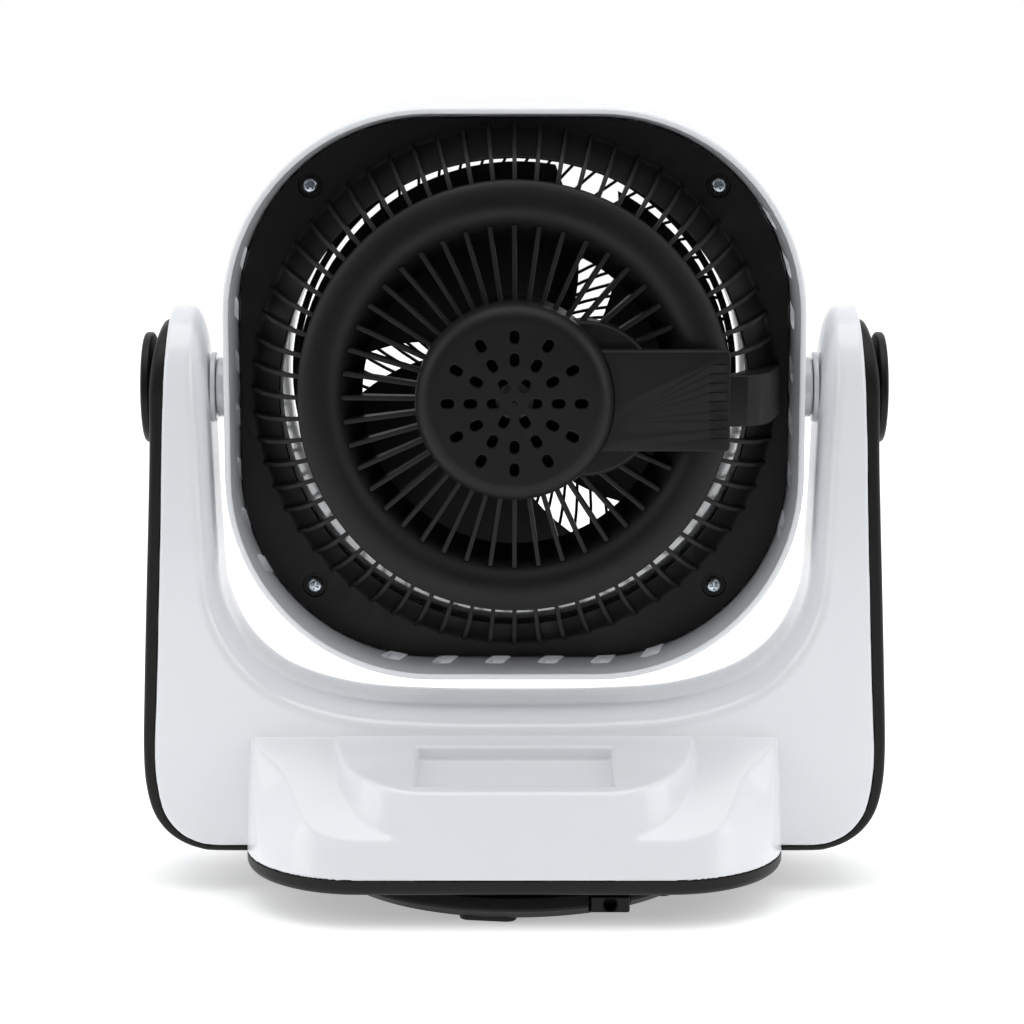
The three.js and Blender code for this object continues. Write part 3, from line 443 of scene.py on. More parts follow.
def meridians(half_x, half_z, corner, corner_steps=20, flat_steps=6):
    """Places round a rounded rectangle in XZ: the centre of the corner, and the outward direction."""
    signs = [(1, 1), (-1, 1), (-1, -1), (1, -1)]
    centres = [np.array([x * (half_x - corner), z * (half_z - corner)]) for x, z in signs]
    places = []
    for k, centre in enumerate(centres):
        for step in range(corner_steps + 1):
            angle = (k + step / corner_steps) * math.pi / 2
            places.append((centre, np.array([math.cos(angle), math.sin(angle)])))
        target = centres[(k + 1) % 4]
        for step in range(1, flat_steps):
            places.append((centre + (target - centre) * step / flat_steps, places[-1][1]))
    return places


def frame_loft(sections, half_x, half_z, corner, taper=0.0, taper_from=0.0, taper_to=-1.0):
    """Sections round the housing: ('rim', inset, y) follows its outline and ('round', radius, y) is a circle.

    The corners are drawn in by up to the taper between two places along Y.
    """
    rows = []
    for centre, direction in meridians(half_x, half_z, corner):
        outer = centre + corner * direction
        bearing = outer / np.linalg.norm(outer)
        corner_share = (2 * direction[0] * direction[1]) ** 2
        row = []
        for kind, size, y in sections:
            if kind == "round":
                x, z = bearing * size
                row.append((x, y, z + HEAD_Z))
                continue
            share = min(max((taper_from - y) / (taper_from - taper_to), 0), 1)
            x, z = centre + (corner - size - taper * share * corner_share) * direction
            row.append((x, y, z + BODY_Z))
        rows.append(row)
    return rows_part(rows, closed_rows=True)


# ---------------------------------------------------------------- surfaces from distance fields


def meet(a, b, radius):
    """Where two fields are both inside, with the shared edge rounded."""
    a, b = a + radius, b + radius
    return np.hypot(np.maximum(a, 0), np.maximum(b, 0)) + np.minimum(np.maximum(a, b), 0) - radius


def either(a, b, radius):
    """Where at least one field is inside, with the shared hollow rounded."""
    return -meet(-a, -b, radius)


def ease(value):
    value = np.clip(value, 0, 1)
    return value * value * (3 - 2 * value)


def surface(field, low, high, cell):
    """A closed quad mesh where the field is zero; the field is negative inside."""
    low = np.array(low, float)
    counts = np.ceil((np.array(high) - low) / cell).astype(int) + 1
    axes = [low[k] + cell * np.arange(counts[k]) for k in range(3)]
    grid = np.stack(np.meshgrid(*axes, indexing="ij"), -1).reshape(-1, 3)
    value = np.concatenate([field(p) for p in np.array_split(grid, 1 + len(grid) // 300000)])
    value = value.reshape(counts)
    inside = value < 0
    corners = [(i, j, k) for i in (0, 1) for j in (0, 1) for k in (0, 1)]
    views = [inside[i:counts[0] - 1 + i, j:counts[1] - 1 + j, k:counts[2] - 1 + k] for i, j, k in corners]
    total = sum(v.astype(np.int8) for v in views)
    active = np.argwhere((total > 0) & (total < 8))
    number = np.full(np.array(counts) - 1, -1)
    number[tuple(active.T)] = np.arange(len(active))
    sums, hits = np.zeros((len(active), 3)), np.zeros(len(active))
    for a, first in enumerate(corners):
        for second in corners[a + 1:]:
            step = np.array(second) - first
            if np.abs(step).sum() != 1:
                continue
            u = value[tuple((active + first).T)]
            v = value[tuple((active + second).T)]
            cross = (u < 0) != (v < 0)
            share = u / np.where(cross, u - v, 1)
            sums[cross] += (active + first + step * share[:, None])[cross]
            hits += cross
    points = low + cell * sums / hits[:, None]
    nudge = 0.02
    for _ in range(4):
        here = field(points)
        ways = nudge * np.eye(3)
        slope = np.stack([(field(points + way) - field(points - way)) / (2 * nudge) for way in ways], 1)
        move = here[:, None] * slope / np.maximum((slope**2).sum(1, keepdims=True), 0.05)
        size = np.linalg.norm(move, axis=1, keepdims=True)
        points = points - move * np.minimum(1, 0.6 * cell / np.maximum(size, 1e-9))
    faces = []
    for axis in range(3):
        b, c = (axis + 1) % 3, (axis + 2) % 3
        ahead = np.roll(inside, -1, axis)
        change = inside != ahead
        change[tuple(slice(-1, None) if k == axis else slice(None) for k in range(3))] = False
        spots = np.argwhere(change)
        eb, ec = np.eye(3, dtype=int)[b], np.eye(3, dtype=int)[c]
        around = [spots - eb - ec, spots - ec, spots, spots - eb]
        quad = np.stack([number[tuple(cell_index.T)] for cell_index in around], 1)
        out = inside[tuple(spots.T)]
        quad[~out] = quad[~out][:, ::-1]
        faces.append(quad)
    return points, [tuple(q) for q in np.vstack(faces).tolist()]


# ---------------------------------------------------------------- objects


def build(name, parts, material, sharp=38):
    """A mesh object from parts, smooth except across sharp edges."""
    points, faces, offset = [], [], 0
    for part_points, part_faces in parts:
        points.append(np.asarray(part_points) * MM)
        faces.extend(tuple(i + offset for i in face) for face in part_faces)
        offset += len(part_points)
    mesh = bpy.data.meshes.new(name)
    mesh.from_pydata(np.vstack(points).tolist(), [], faces)
    mesh.validate()
    shape = bmesh.new()
    shape.from_mesh(mesh)
    bmesh.ops.recalc_face_normals(shape, faces=shape.faces)
    shape.to_mesh(mesh)
    shape.free()
    obj = bpy.data.objects.new(name, mesh)
    bpy.context.scene.collection.objects.link(obj)
    if material:
        mesh.materials.append(material)
    soften(obj, sharp)
    return obj


def soften(obj, sharp):
    obj.data.shade_smooth()
    obj.data.set_sharp_from_angle(angle=math.radians(sharp))


def combined(obj, operation, parts, sharp):
    """Joins parts to an object, or cuts them from it. The parts don't overlap one another."""
    other = build(obj.name + "_tool", parts, None)
    modifier = obj.modifiers.new("combine", "BOOLEAN")
    modifier.operation = operation
    modifier.solver = "MANIFOLD"
    modifier.object = other
    bpy.context.view_layer.update()
    graph = bpy.context.evaluated_depsgraph_get()
    mesh = bpy.data.meshes.new_from_object(obj.evaluated_get(graph))
    obj.modifiers.clear()
    old = obj.data
    obj.data = mesh
    mesh.name = obj.name
    bpy.data.meshes.remove(old)
    spare = other.data
    bpy.data.objects.remove(other)
    bpy.data.meshes.remove(spare)
    if len(obj.data.polygons) == 0:
        raise RuntimeError(f"{obj.name}: nothing is left after {operation}")
    soften(obj, sharp)


def join(obj, parts, sharp=38):
    combined(obj, "UNION", parts, sharp)


def cut(obj, parts, sharp=38):
    combined(obj, "DIFFERENCE", parts, sharp)


def keep(obj, parts, sharp=38):
    combined(obj, "INTERSECT", parts, sharp)


def part_of(obj):
    """The mesh of a working object as a part; the object is removed."""
    points = np.array([vertex.co for vertex in obj.data.vertices]) / MM
    faces = [tuple(polygon.vertices) for polygon in obj.data.polygons]
    bpy.data.objects.remove(obj)
    return points, faces


def finish_piece(obj, body, node, even=True):
    """The piece rides on its body and stands for its CAD node."""
    if even:  # flat faces stay evenly lit up to their rounded edges
        modifier = obj.modifiers.new("even_normals", "WEIGHTED_NORMAL")
        modifier.keep_sharp = True
        modifier.weight = 80
    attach(obj, body)
    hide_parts(node)


def carry(node, material):
    """A CAD node that stays, with a better material in its slots."""
    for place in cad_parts[node].material_slots:
        place.material = material


# ---------------------------------------------------------------- fan housing

FRONT, REAR = HOUSING_LOW[1], HOUSING_HIGH[1]
HALF_X = HOUSING_HIGH[0]
HALF_Z = (HOUSING_HIGH[2] - HOUSING_LOW[2]) / 2
CORNER = 101
SKIN = 3
CORNER_TAPER, TAPER_FROM = 5, 10  # the corners are drawn in from here towards the front
FRONT_ROUND = 9
DUCT_RADIUS = 115
DUCT_TAIL = 11.5
SLOT_PITCH = 26.6
SIDE_SLOT_SHIFT, BOTTOM_SLOT_SHIFT = 11.6, 5
SCREW_REACH = box_mm("cover_screw_2")[1][0] - 3.9
HOUSING_SHARP = 32


def rim_place(distance):
    """Point and outward angle on the housing outline, from the bottom middle towards -X."""
    flat_x, flat_z = HALF_X - CORNER, HALF_Z - CORNER
    arc = math.pi / 2 * CORNER
    runs = [
        (flat_x, (0, -HALF_Z), (-1, 0)), (arc, (-flat_x, -flat_z), -math.pi / 2),
        (2 * flat_z, (-HALF_X, -flat_z), (0, 1)), (arc, (-flat_x, flat_z), -math.pi),
        (2 * flat_x, (-flat_x, HALF_Z), (1, 0)), (arc, (flat_x, flat_z), -1.5 * math.pi),
        (2 * flat_z, (HALF_X, flat_z), (0, -1)), (arc, (flat_x, -flat_z), -2 * math.pi),
        (flat_x, (flat_x, -HALF_Z), (-1, 0)),
    ]
    left = distance % sum(run[0] for run in runs)
    for length, place, way in runs:
        if left > length:
            left -= length
            continue
        if isinstance(way, tuple):
            return place[0] + way[0] * left, place[1] + way[1] * left, math.atan2(way[0], -way[1])
        angle = way - left / CORNER
        return place[0] + CORNER * math.cos(angle), place[1] + CORNER * math.sin(angle), angle
    return 0, -HALF_Z, -math.pi / 2


def slot_distances():
    """Slots at an even pitch along the bottom and both sides."""
    quarter = HALF_X + HALF_Z - 2 * CORNER + math.pi / 2 * CORNER
    found = []
    rows = ((BOTTOM_SLOT_SHIFT, 6), (quarter + SIDE_SLOT_SHIFT, 7), (3 * quarter + SIDE_SLOT_SHIFT, 7))
    for centre, count in rows:
        found += [centre + (k - (count - 1) / 2) * SLOT_PITCH for k in range(count)]
    return found


def slot_cutter(distance):
    x, z, angle = rim_place(distance)
    outline = filleted([(-2.5, 10), (7.5, 10), (2.5, 23), (-7.5, 23)], 2.0, 4)
    part = slab(outline, -7, 7)
    out = Vector((math.cos(angle), 0, math.sin(angle)))
    back = Vector((0, 1, 0))
    along = back.cross(out)
    basis = Matrix((along, back, out)).transposed().to_4x4()
    return placed(part, Matrix.Translation((x, 0, z + BODY_Z)) @ basis)


def make_housing():
    lip = [(3.0, 1.6), (2.85, 0.7), (2.2, 0.1), (1.5, 0), (0.8, 0.1), (0.15, 0.7), (0, 1.6)]
    rear_lip = [("rim", size, REAR - down) for size, down in lip]
    waist = [("rim", 0, y) for y in np.linspace(REAR - 8, FRONT + 12, 8)]
    front_edge = [("rim", FRONT_ROUND * (1 - math.cos(a)), FRONT + FRONT_ROUND * (1 - math.sin(a)))
                  for a in np.linspace(0, math.pi / 2, 7)]
    mouth = [("round", DUCT_RADIUS + out, FRONT + up) for out, up in ((2.2, 0), (0.7, 0.6), (0, 2))]
    tail = [("round", DUCT_RADIUS + out, DUCT_TAIL - down)
            for out, down in ((0, 0.8), (0.8, 0), (2.2, 0), (3, 0.8))]
    inside = [("round", DUCT_RADIUS + SKIN, FRONT + 6), ("round", DUCT_RADIUS + 6, FRONT + SKIN),
              ("rim", 10, FRONT + SKIN), ("rim", 7, FRONT + 4.5), ("rim", 5.4, FRONT + 9)]
    lining = [("rim", SKIN + 2.4 * min(1, (REAR - 4 - y) / 20), y)
              for y in np.linspace(FRONT + 14, REAR - 4, 11)]
    sections = rear_lip + waist + front_edge + mouth + tail + inside + lining
    shape = frame_loft(sections, HALF_X, HALF_Z, CORNER, CORNER_TAPER, TAPER_FROM, FRONT)
    housing = build("housing", [shape], WHITE, HOUSING_SHARP)
    cut(housing, [slot_cutter(distance) for distance in slot_distances()], HOUSING_SHARP)
    start, end, radius = HALF_X - 6, HALF_X + 6, 4.1
    pin_hole = revolved([(0, start), (radius, start), (radius, end), (0, end)], "x", 24, (0, PIVOT_Y, HEAD_Z))
    cut(housing, [pin_hole, mirrored(pin_hole)], HOUSING_SHARP)
    finish_piece(housing, "head", "fan_housing")


make_housing()

# ---------------------------------------------------------------- rear grille

PLATE_X = PLATE_HIGH[0]
PLATE_Z = (PLATE_HIGH[2] - PLATE_LOW[2]) / 2
PLATE_CORNER = 97
OUTER_COUNT, INNER_COUNT = 64, 44
LOBE_X, LOBE_RADIUS = -32.7, 38.2  # the cable lobe beside the motor cup
GRILLE_SHARP = 34


def about_head(profile, segments=120, x=0, z=0):
    """A profile of (radius, y) turned about the fan axis, or about a line beside it."""
    return revolved(profile, "y", segments, (x, 0, HEAD_Z + z))


def round_head(part, count):
    """Copies of a part at even turns about the fan axis."""
    return [moved(turned(part, 360 * k / count), HEAD_AXIS) for k in range(count)]


def spread_ribs(outline, width, count, hidden, bevel=0.5):
    """Copies of a rib (drawn as radius and y) about the fan axis, left out near -X."""
    rib = slab(outline, -width / 2, width / 2, bevel, bevel, 2)
    copies = []
    for k in range(count):
        angle = 90 + 360 * k / count
        if abs(angle % 360 - 180) < hidden:
            continue
        copies.append(moved(turned(rib, -angle), HEAD_AXIS))
    return copies


def grille_ring():
    dome = flowing([(105.6, 48.6), (104.6, 50.6), (101, 52.6), (96, 53.9), (90.5, 53.4), (85.5, 50.4),
                    (82, 46.2), (79.2, 41.8), (74.2, 36.2)], 5)
    under = flowing([(75.4, 34.9), (80.9, 39.8), (84.2, 45.0), (87.4, 49.0), (91.5, 50.9), (96, 51.2),
                     (101, 50), (104.9, 47.8)], 4)
    return about_head(np.vstack([dome, under]), 160)


def cable_lobe():
    """The part of a hollow disc beside the motor cup that lies outside it."""
    low, high, cup_radius = 42, 54, 46
    outline = filleted([(0, low), (LOBE_RADIUS, low), (LOBE_RADIUS, high), (0, high)], [0, 0.5, 2.2, 0], 4)
    lobe = build("lobe", [about_head(outline, 96, LOBE_X)], BLACK)
    cut(lobe, [about_head([(0, 30), (cup_radius, 30), (cup_radius, 60), (0, 60)], 88)])
    within = LOBE_RADIUS - 2.4
    hollow = [(0, low - 1), (within, low - 1), (within, high - 2.4), (0, high - 2.4)]
    cut(lobe, [about_head(hollow, 64, LOBE_X)])
    return part_of(lobe)


def make_rear_grille():
    plate = [
        ("rim", 3.0, 15.0), ("rim", 2.45, 14.8), ("rim", 2.2, 14.2), ("rim", 2.2, 12.6), ("rim", 2.7, 12.0),
        ("round", 129.6, 12.0), ("round", 127.9, 12.4), ("round", 127.0, 13.6), ("round", 114.9, 34.2),
        ("round", 114.7, 35.1), ("round", 115.4, 35.6), ("round", 116.2, 35.0), ("round", 127.4, 17.2),
        ("round", 128.6, 15.6), ("round", 130.2, 15.0),
    ]
    outer_rib = [(131, 13.8), (129.9, 18), (123.4, 33.6), (119, 40.6), (113.2, 46.8), (104.8, 50.0),
                 (104.6, 48.4), (110.6, 44.4), (113.9, 38.8), (115.3, 34.4), (127.4, 13.6)]
    inner_rib = [(84.6, 47.6), (83.8, 49.9), (46, 52.2), (46, 45.5), (79, 40.8), (83.2, 42.8)]
    cup = [(9.6, 22), (45, 22), (47, 24), (47, 51.9), (45.2, 51.9), (45.2, 26), (9.6, 25.4)]
    grille = build("grille", [frame_loft(plate, PLATE_X, PLATE_Z, PLATE_CORNER)], BLACK, GRILLE_SHARP)
    join(grille, spread_ribs(outer_rib, 2.1, OUTER_COUNT, 7.5), GRILLE_SHARP)
    join(grille, [grille_ring()], GRILLE_SHARP)
    join(grille, spread_ribs(inner_rib, 2.3, INNER_COUNT, 17.5), GRILLE_SHARP)
    join(grille, [about_head(cup, 88)], GRILLE_SHARP)
    join(grille, [cable_lobe()], GRILLE_SHARP)
    recess = [(0, 11), (1.9, 11), (1.9, 13.8), (5.75, 13.8), (5.95, 14.6), (6.4, 15.4), (0, 15.4)]
    reaches = (-SCREW_REACH, SCREW_REACH)
    cut(grille, [about_head(recess, 40, x, z) for x in reaches for z in reaches], GRILLE_SHARP)
    finish_piece(grille, "head", "rear_grille")


make_rear_grille()

# ---------------------------------------------------------------- motor cover and cable cover


def make_motor_cover():
    rear, radius, edge_round, sharp = POD_HIGH[1], POD_HIGH[0], 8.5, 36
    edge = [(radius - edge_round * (1 - math.cos(a)), rear - edge_round * (1 - math.sin(a)))
            for a in np.linspace(0, math.pi / 2, 12)]
    lining = [(0, rear - 3.4), (3, rear - 2.6), (radius - 9, rear - 2.6), (radius - 4.6, rear - 5.2),
              (radius - 2.5, rear - 9.5), (radius - 2.5, POD_LOW[1]), (radius - 0.5, POD_LOW[1]),
              (radius, POD_LOW[1] + 0.5)]
    dimple = [(2.2, rear), (1.7, rear - 0.25), (1.3, rear - 1.0), (0.7, rear - 0.9), (0, rear - 0.6)]
    cover = build("motor_cover_piece", [about_head(lining + edge + dimple)], BLACK, sharp)
    slot = standing(slab(rounded_rectangle(3.25, 2.3, 2.2, 6), rear - 4.5, rear + 1))
    rim = standing(slab(rounded_rectangle(3.7, 2.75, 2.65, 6), rear - 0.35, rear + 1, 0.34, 0, 2))
    for shape in (slot, rim):
        cutters = []
        for count, reach in ((6, 10), (12, 21.1), (12, 32.1)):
            cutters += round_head(moved(shape, (reach, 0, 0)), count)
        cut(cover, cutters, sharp)
    finish_piece(cover, "head", "motor_cover")


def make_cable_cover():
    rear, half, start, end, underside, sharp = box_mm("cable_cover")[1][1], 24.6, 48.35, 104, 54.65, 20
    outline = filleted([(-start + 8, -half), (-end, -half), (-end, half), (-start + 8, half)],
                       [0, 2.5, 2.5, 0], 5)
    channel = standing(slab(outline, underside, rear, 0, 1.3, 4))
    cover = build("cable_cover_piece", [moved(channel, HEAD_AXIS)], BLACK, sharp)
    cut(cover, [about_head([(0, 50), (start, 50), (start, 70), (0, 70)])], sharp)
    duct = filleted([(-99, underside), (-99, rear - 0.5), (-112, rear - 0.9), (-119, 56.5), (-124, 49),
                     (-128, 34), (-131.2, 22), (-131.4, 15.4), (-130.6, 15.4), (-117, 36.3), (-112, 40),
                     (-106, 51)], [0, 0, 3, 6, 6, 8, 2, 0, 0, 4, 4, 3], 5)
    join(cover, [moved(slab(duct, -12.5, 12.5, 1.0, 1.0, 3), HEAD_AXIS)], sharp)
    groove = standing(slab(rounded_rectangle(4.2, 0.35, 0.3, 3), rear - 0.45, rear + 1))
    grooves = [moved(groove, (-end + 6.2, 0, HEAD_Z + (k - 4) * 4.5)) for k in range(9)]
    cut(cover, grooves, sharp)
    finish_piece(cover, "head", "cable_cover", even=False)


make_motor_cover()
make_cable_cover()

# ---------------------------------------------------------------- cover screws


def make_screw(number):
    low, high = box_mm(f"cover_screw_{number}")
    x, z = (low[0] + high[0]) / 2, (low[2] + high[2]) / 2
    profile = filleted([(0, low[1]), (1.4, low[1] + 1.5), (1.4, 14.1), (3.9, 14.1), (3.9, 15.3),
                        (2.9, 16.8), (0, 17.2)], [0, 0, 0, 0.2, 0.8, 1.2, 0], 4)
    screw = build(f"screw_{number}", [revolved(profile, "y", 48, (x, 0, z))], ZINC)
    arms = []
    for spin in (0, 90):
        arm = slab([(-2.1, -0.42), (2.1, -0.42), (2.1, 0.42), (-2.1, 0.42)], 15.7, 18)
        arms.append(moved(turned(standing(arm), 23 * number + spin), (x, 0, z)))
    cut(screw, arms[:1])
    cut(screw, arms[1:])
    finish_piece(screw, "head", f"cover_screw_{number}")


for screw_number in range(1, 5):
    make_screw(screw_number)

# ---------------------------------------------------------------- front grille, cap and blade


FRONT_COUNT = 60


def spiral_rib():
    """One rib of the front grille, from the middle disc to the rim, with rounded edges."""
    inner, outer, width, depth, dome, twist = 20.0, 111.6, 1.7, 3.0, 12.0, 0.53
    half = width / 2
    section = filleted([(-half, 0), (half, 0), (half, depth), (-half, depth)], 0.45, 2)
    rows = []
    for share in np.linspace(0, 1, 13):
        radius = inner + (outer - inner) * share
        angle = twist * math.log(radius / inner)
        front = -46 - dome * (1 - (radius / outer) ** 2)
        cos, sin = math.cos(angle), math.sin(angle)
        rows.append([(cos * radius - sin * across, front + down, sin * radius + cos * across)
                     for across, down in section])
    return rows_part(rows, closed_rows=False)


def make_front_grille():
    rim = filleted([(110.6, -47.5), (114, -47.5), (114, -42.5), (110.6, -42.5)], [0.8, 0.8, 0.4, 0.4], 3)
    grille = build("front_grille_piece", [about_head(rim)], BLACK)
    disc = filleted([(0, -57.7), (22, -57.7), (22, -55), (0, -55)], [0, 0.8, 0.4, 0], 3)
    join(grille, [about_head(disc)])
    ribs = round_head(spiral_rib(), FRONT_COUNT)
    join(grille, ribs[0::2])
    join(grille, ribs[1::2])
    finish_piece(grille, "head", "front_grille")
    dome = flowing([(19.9, -58.6), (19.2, -59.9), (16, -60.9), (8, -61.7), (0, -61.95)], 4)
    profile = [(0, -58.0), (19.4, -58.0)] + [tuple(p) for p in dome]
    cap = build("front_cap", [about_head(profile, 80)], BLACK_SMOOTH)
    finish_piece(cap, "head", "centre_cap")


# radians seen from the rear: where the root starts, how wide a blade is, and how far its tip leads
BLADE_START, BLADE_WIDTH, BLADE_LEAD, BLADE_EASING = 0.682, 1.798, 0.82, 0.15
BLADE_ROOT, BLADE_TIP, BLADE_COUNT = 28, 109, 3


def blade_rows(spans=12, chords=26):
    """A twisted blade with a thin rounded section, as closed loops from hub to tip."""
    rows = []
    for share in np.linspace(0, 1, spans):
        radius = BLADE_ROOT + (BLADE_TIP - BLADE_ROOT) * share
        first = BLADE_START + BLADE_LEAD * share * (1 - BLADE_EASING * share**2)
        pinch = max(math.sqrt(max(0.0, 1 - max(0.0, (share - 0.93) / 0.075) ** 2)), 0.15)
        upper, lower = [], []
        for along in (1 - np.cos(np.linspace(0, math.pi, chords))) / 2:
            angle = first + BLADE_WIDTH * along
            y = -27 + 31 * along**0.9 - 3 * share
            crown = 2.4 * math.sqrt(max(along * (1 - along), 0)) * (1 - 0.35 * share)
            thick = (0.12 + crown) * pinch / 2
            x, z = -radius * math.cos(angle), radius * math.sin(angle)
            upper.append((x, y + thick, z))
            lower.append((x, y - thick, z))
        rows.append(upper + lower[::-1])
    return rows


def make_blade():
    sharp = 36
    hub = [(4.3, -34), (24, -34), (26.6, -33.2), (29.6, -31.2), (31, -28), (31, 5.4), (30.4, 6), (29, 6),
           (28.5, 5.4), (28.5, -28.6), (26.5, -31.2), (10, -31.2), (10, -10), (4.3, -10)]
    blade = build("blade", [about_head(hub, 96)], BLACK, sharp)
    bore = about_head([(9, -31), (28.6, -31), (28.6, 8), (9, 8)], 96)
    for shape in round_head(rows_part(blade_rows(), closed_rows=False), BLADE_COUNT):
        one = build("one_blade", [shape], BLACK, sharp)
        cut(one, [bore], sharp)
        join(blade, [part_of(one)], sharp)
    finish_piece(blade, "rotor", "fan_blade")


make_front_grille()
make_blade()

# ---------------------------------------------------------------- tilt pivots


def make_pivots():
    centre = (0, PIVOT_Y, PIVOT_Z)
    trunnion = filleted([(0, 139.3), (3.8, 139.3), (3.8, 142.3), (14.9, 142.3), (14.9, 147.1), (9.7, 147.1),
                         (9.7, 161), (0, 161)], [0, 0, 0.5, 0.6, 1.4, 0.3, 0.6, 0], 4)
    collar = filleted([(10.2, 147.4), (17.4, 147.4), (17.4, 149.7), (10.2, 149.7)], [0.3, 0.9, 0.1, 0.1], 4)
    cap = filleted([(0, 178.3), (26.3, 178.3), (27.3, 179.2), (27.3, 182.8), (24.2, 182.8), (23.2, 181.9),
                    (4, 182.1), (0, 182.2)], [0, 0.6, 0.6, 1.6, 0.5, 0.6, 0, 0], 5)
    for side, mirror in (("right", False), ("left", True)):
        for label, profile, material, slot, body, node in (
            ("trunnion", trunnion, WHITE, "white_gloss", "head", "tilt_trunnion_"),
            ("collar", collar, WHITE, "white_gloss", "yoke", "pivot_collar_"),
            ("cap", cap, BLACK, "black_satin", "yoke", "pivot_cap_"),
        ):
            part = revolved(profile, "x", 96, centre)
            obj = build(f"{label}_{side}", [mirrored(part) if mirror else part], material)
            finish_piece(obj, body, node + side)


make_pivots()

# ---------------------------------------------------------------- yoke and consoles

REAR_FACE = 47.0
HALF_DEPTH = REAR_FACE - PIVOT_Y
ARM_TOP = YOKE_HIGH[2] - PIVOT_Z
BOTTOM = YOKE_LOW[2]
SEAM = 0.03  # half the line between the front and rear shells
WALL = 2.5
EDGE_WIDE, EDGE_TALL = 10.4, 22.0  # how far the arms' inner edges are rounded
EDGE_SLIMMER, SLIM_FROM, SLIM_RUN = 3.6, 258, 24  # and how much less round they are at the top
YOKE_SHARP = 50


def line_table(line, reach_x=190, low_z=10, high_z=310):
    """A function giving how far a point (|x|, z) lies to the right of a line, by a fine table."""
    xs, zs = np.arange(0, reach_x + 1.0), np.arange(low_z, high_z + 1.0)
    points = np.stack(np.meshgrid(xs, zs, indexing="ij"), -1).reshape(-1, 2)
    best = np.full(len(points), 1e12)
    side = np.zeros(len(points))
    for start, end in zip(line[:-1], line[1:]):
        way = end - start
        share = np.clip((points - start) @ way / (way @ way), 0, 1)
        off = points - start - share[:, None] * way
        distance = (off**2).sum(1)
        closer = distance < best
        best[closer] = distance[closer]
        side[closer] = (way[1] * (points - start)[:, 0] - way[0] * (points - start)[:, 1])[closer]
    table = (np.sqrt(best) * np.sign(side)).reshape(len(xs), len(zs))

    def lookup(x, z):
        u = np.clip(x, 0, reach_x - 0.001)
        v = np.clip(z - low_z, 0, high_z - low_z - 0.001)
        i, j = u.astype(int), v.astype(int)
        a, b = u - i, v - j
        return (table[i, j] * (1 - a) * (1 - b) + table[i + 1, j] * a * (1 - b)
                + table[i, j + 1] * (1 - a) * b + table[i + 1, j + 1] * a * b)

    return lookup


SADDLE_LINE = flowing([(-40, 92.9), (0, 92.6), (40, 93), (76.5, 95.4), (103.5, 102.2), (121, 111.4),
                       (135.5, 127), (145, 150), (147, 178), (148.3, 205), (150, 251), (152, 290),
                       (154, 330)], 8)
SIDE_LINE = flowing([(167, 330), (169, 289), (171, 251), (172.2, 225), (173.3, 190), (175, 150), (176, 125),
                     (177.2, 100), (178.6, 74), (178, 58), (175.3, 43.8), (171.2, 36), (166, 30.6),
                     (160, 27.2), (153.4, 25.3), (140, 24.6), (100, 24.5)], 6)
TRIM_LINE = flowing([(166, 330), (168.6, 300), (171.6, 289), (175.2, 276), (177, 264), (177.9, 251),
                     (178.2, 225), (179.6, 190), (181.4, 150), (183.5, 100), (184.3, 74), (183.6, 57),
                     (180.6, 43), (175, 33.3), (167, 26.6), (157, 22.6), (146, 21.5), (100, 21.5)], 6)
beyond_saddle = line_table(SADDLE_LINE)
inside_side = line_table(SIDE_LINE)
inside_trim = line_table(TRIM_LINE)


def arm_depth(y, z, half_depth, top):
    """How deep a point lies in the yoke's side view, which has a rounded top."""
    return half_depth * (1 - np.hypot((y - PIVOT_Y) / half_depth, np.maximum(z - PIVOT_Z, 0) / top))


def rounded_edge(within, deep, wide, tall):
    """The arms' and the saddle's inner edge, rounded as a quarter of an ellipse."""
    return wide * (np.hypot(np.maximum(wide - within, 0) / wide, np.maximum(tall - deep, 0) / tall) - 1)


def yoke_field(p):
    x, y, z = np.abs(p[:, 0]), p[:, 1], p[:, 2]
    deep = arm_depth(y, z, HALF_DEPTH, ARM_TOP)
    wide = EDGE_WIDE - EDGE_SLIMMER * ease((z - SLIM_FROM) / SLIM_RUN)
    edge = rounded_edge(beyond_saddle(x, z), deep, wide, EDGE_TALL)
    side = meet(-inside_side(x, z), -deep, 1.8)
    return np.maximum(np.maximum(edge, side), BOTTOM - z)


def yoke_space(p):
    x, y, z = np.abs(p[:, 0]), p[:, 1], p[:, 2]
    deep = arm_depth(y, z, HALF_DEPTH, ARM_TOP) - WALL
    edge = rounded_edge(beyond_saddle(x, z) - WALL, deep, EDGE_WIDE - WALL, EDGE_TALL - WALL)
    side = meet(WALL - inside_side(x, z), -deep, 1.5)
    return np.maximum(np.maximum(edge, side), BOTTOM - BELOW - z)


CONSOLE_X, CONSOLE_Y = TRAY_HIGH[0], TRAY_HIGH[1]
CONSOLE_CORNER = 58
CONSOLE_TOP = 81.0
BELOW = 3  # the hollows are cut this far past the open bottom
OVERLAP = 3  # and this far into their neighbours
REAR_START, FRONT_START = 41, -17
SHELF_FALL, WALL_LEAN, FRONT_LEAN = 0.3407, 0.315, 0.13  # millimetres for each millimetre
SHELF_X, SHELF_Y, SHELF_CORNER, SHELF_RIM_Z = 93, 93.4, 50, 65.5
ROOF_RUN, ROOF_RISE = 52.7, 37.8  # how far the side roofs run and fall from the rear face
WELL_X, WELL_NEAR, WELL_FAR, WELL_DEEP = 48.6, 55.4, 87.2, 6.6
PANEL_Y, PANEL_Z = -60.0, 63.5
PANEL_TILT = math.atan2(32.5, 73)


def plan(x, y, half_width, reach, corner):
    """A rounded rectangle seen from above, whose far side is at y = reach."""
    return meet(x - half_width, y - reach, corner)


def shelf_top(y, z):
    return ((y - REAR_FACE) * SHELF_FALL + z - CONSOLE_TOP) / math.hypot(1, SHELF_FALL)


